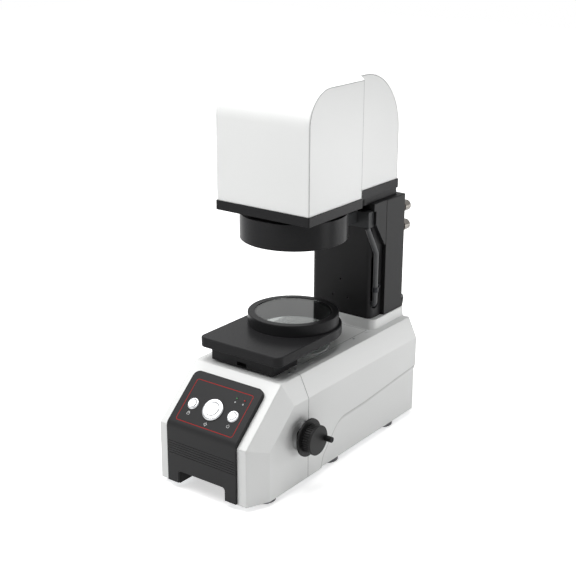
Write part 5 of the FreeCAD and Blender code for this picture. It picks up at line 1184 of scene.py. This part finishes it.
def light_world(levels):
    world = bpy.data.worlds.new("studio_world")
    world.use_nodes = True
    tree = world.node_tree
    tree.nodes.clear()
    strength = spread(tree, seen_ray(tree), levels.fill, 1.0)
    sky = add_node(tree, "ShaderNodeBackground",
                   {"Color": (1.0, 1.0, 1.0, 1.0), "Strength": strength})
    add_node(tree, "ShaderNodeOutputWorld", {"Surface": sky.outputs[0]})
    bpy.context.scene.world = world


def hang_softbox(name, spot, size, power):
    """A square soft light."""
    light = bpy.data.lights.new(name, "AREA")
    light.shape = "SQUARE"
    light.size = size
    light.energy = power
    lamp = bpy.data.objects.new(name, light)
    aim = (Vector(LIGHT_AIM) - spot).to_track_quat("-Z", "Y")
    lamp.matrix_world = Matrix.Translation(spot) @ aim.to_matrix().to_4x4()
    bpy.context.scene.collection.objects.link(lamp)


def place_camera():
    """A long lens from the front right, a little above the machine."""
    turn, drop, roll = (math.radians(angle)
                        for angle in (CAMERA_TURN, CAMERA_DROP, CAMERA_ROLL))
    ahead = Vector((-math.sin(turn) * math.cos(drop), math.cos(turn) * math.cos(drop),
                    -math.sin(drop)))
    across = Vector((math.cos(turn), math.sin(turn), 0.0))
    up = across.cross(ahead)
    right = across * math.cos(roll) + up * math.sin(roll)
    above = up * math.cos(roll) - across * math.sin(roll)
    eye = at(*CAMERA_SPOT)
    camera = bpy.data.objects.new("camera", bpy.data.cameras.new("camera"))
    camera.data.sensor_width = CAMERA_SENSOR
    camera.data.lens = CAMERA_LENS
    camera.data.clip_end = CAMERA_FAR
    camera.matrix_world = Matrix.Translation(eye) @ Matrix(
        (right, above, -ahead)).transposed().to_4x4()
    bpy.context.scene.collection.objects.link(camera)
    bpy.context.scene.camera = camera


class PROJECTOR_PT_parts(bpy.types.Panel):
    """Lists the operators that dress the machine and set up the studio"""

    bl_idname = "PROJECTOR_PT_parts"
    bl_label = "Profile projector"
    bl_space_type = "VIEW_3D"
    bl_region_type = "UI"
    bl_category = "Projector"

    def draw(self, context):
        column = self.layout.column(align=True)
        for operator in OPERATORS:
            column.operator(operator.bl_idname)
        for group in (context.scene.projector_finishes, context.scene.projector_trim,
                      context.scene.projector_studio):
            for name in group.bl_rna.properties.keys():
                if name not in ("rna_type", "name"):
                    self.layout.prop(group, name)


OPERATORS = (
    PROJECTOR_OT_studio,
    PROJECTOR_OT_base,
    PROJECTOR_OT_feet,
    PROJECTOR_OT_fascia,
    PROJECTOR_OT_buttons,
    PROJECTOR_OT_handwheel,
    PROJECTOR_OT_drive,
    PROJECTOR_OT_stage_table,
    PROJECTOR_OT_backlight,
    PROJECTOR_OT_electrics,
    PROJECTOR_OT_column,
    PROJECTOR_OT_head,
    PROJECTOR_OT_ring_light,
    PROJECTOR_OT_cables,
)
SETTINGS = {
    "projector_finishes": ProjectorFinishes,
    "projector_trim": ProjectorTrim,
    "projector_studio": ProjectorStudio,
}


def register():
    for kind in (*SETTINGS.values(), *OPERATORS, PROJECTOR_PT_parts):
        bpy.utils.register_class(kind)
    for name, kind in SETTINGS.items():
        setattr(bpy.types.Scene, name, PointerProperty(type=kind))


def unregister():
    for name in SETTINGS:
        delattr(bpy.types.Scene, name)
    for kind in reversed((*SETTINGS.values(), *OPERATORS, PROJECTOR_PT_parts)):
        bpy.utils.unregister_class(kind)


def main():
    register()
    for operator in OPERATORS:
        family, action = operator.bl_idname.split(".")
        getattr(getattr(bpy.ops, family), action)()


if __name__ == "__main__":
    main()
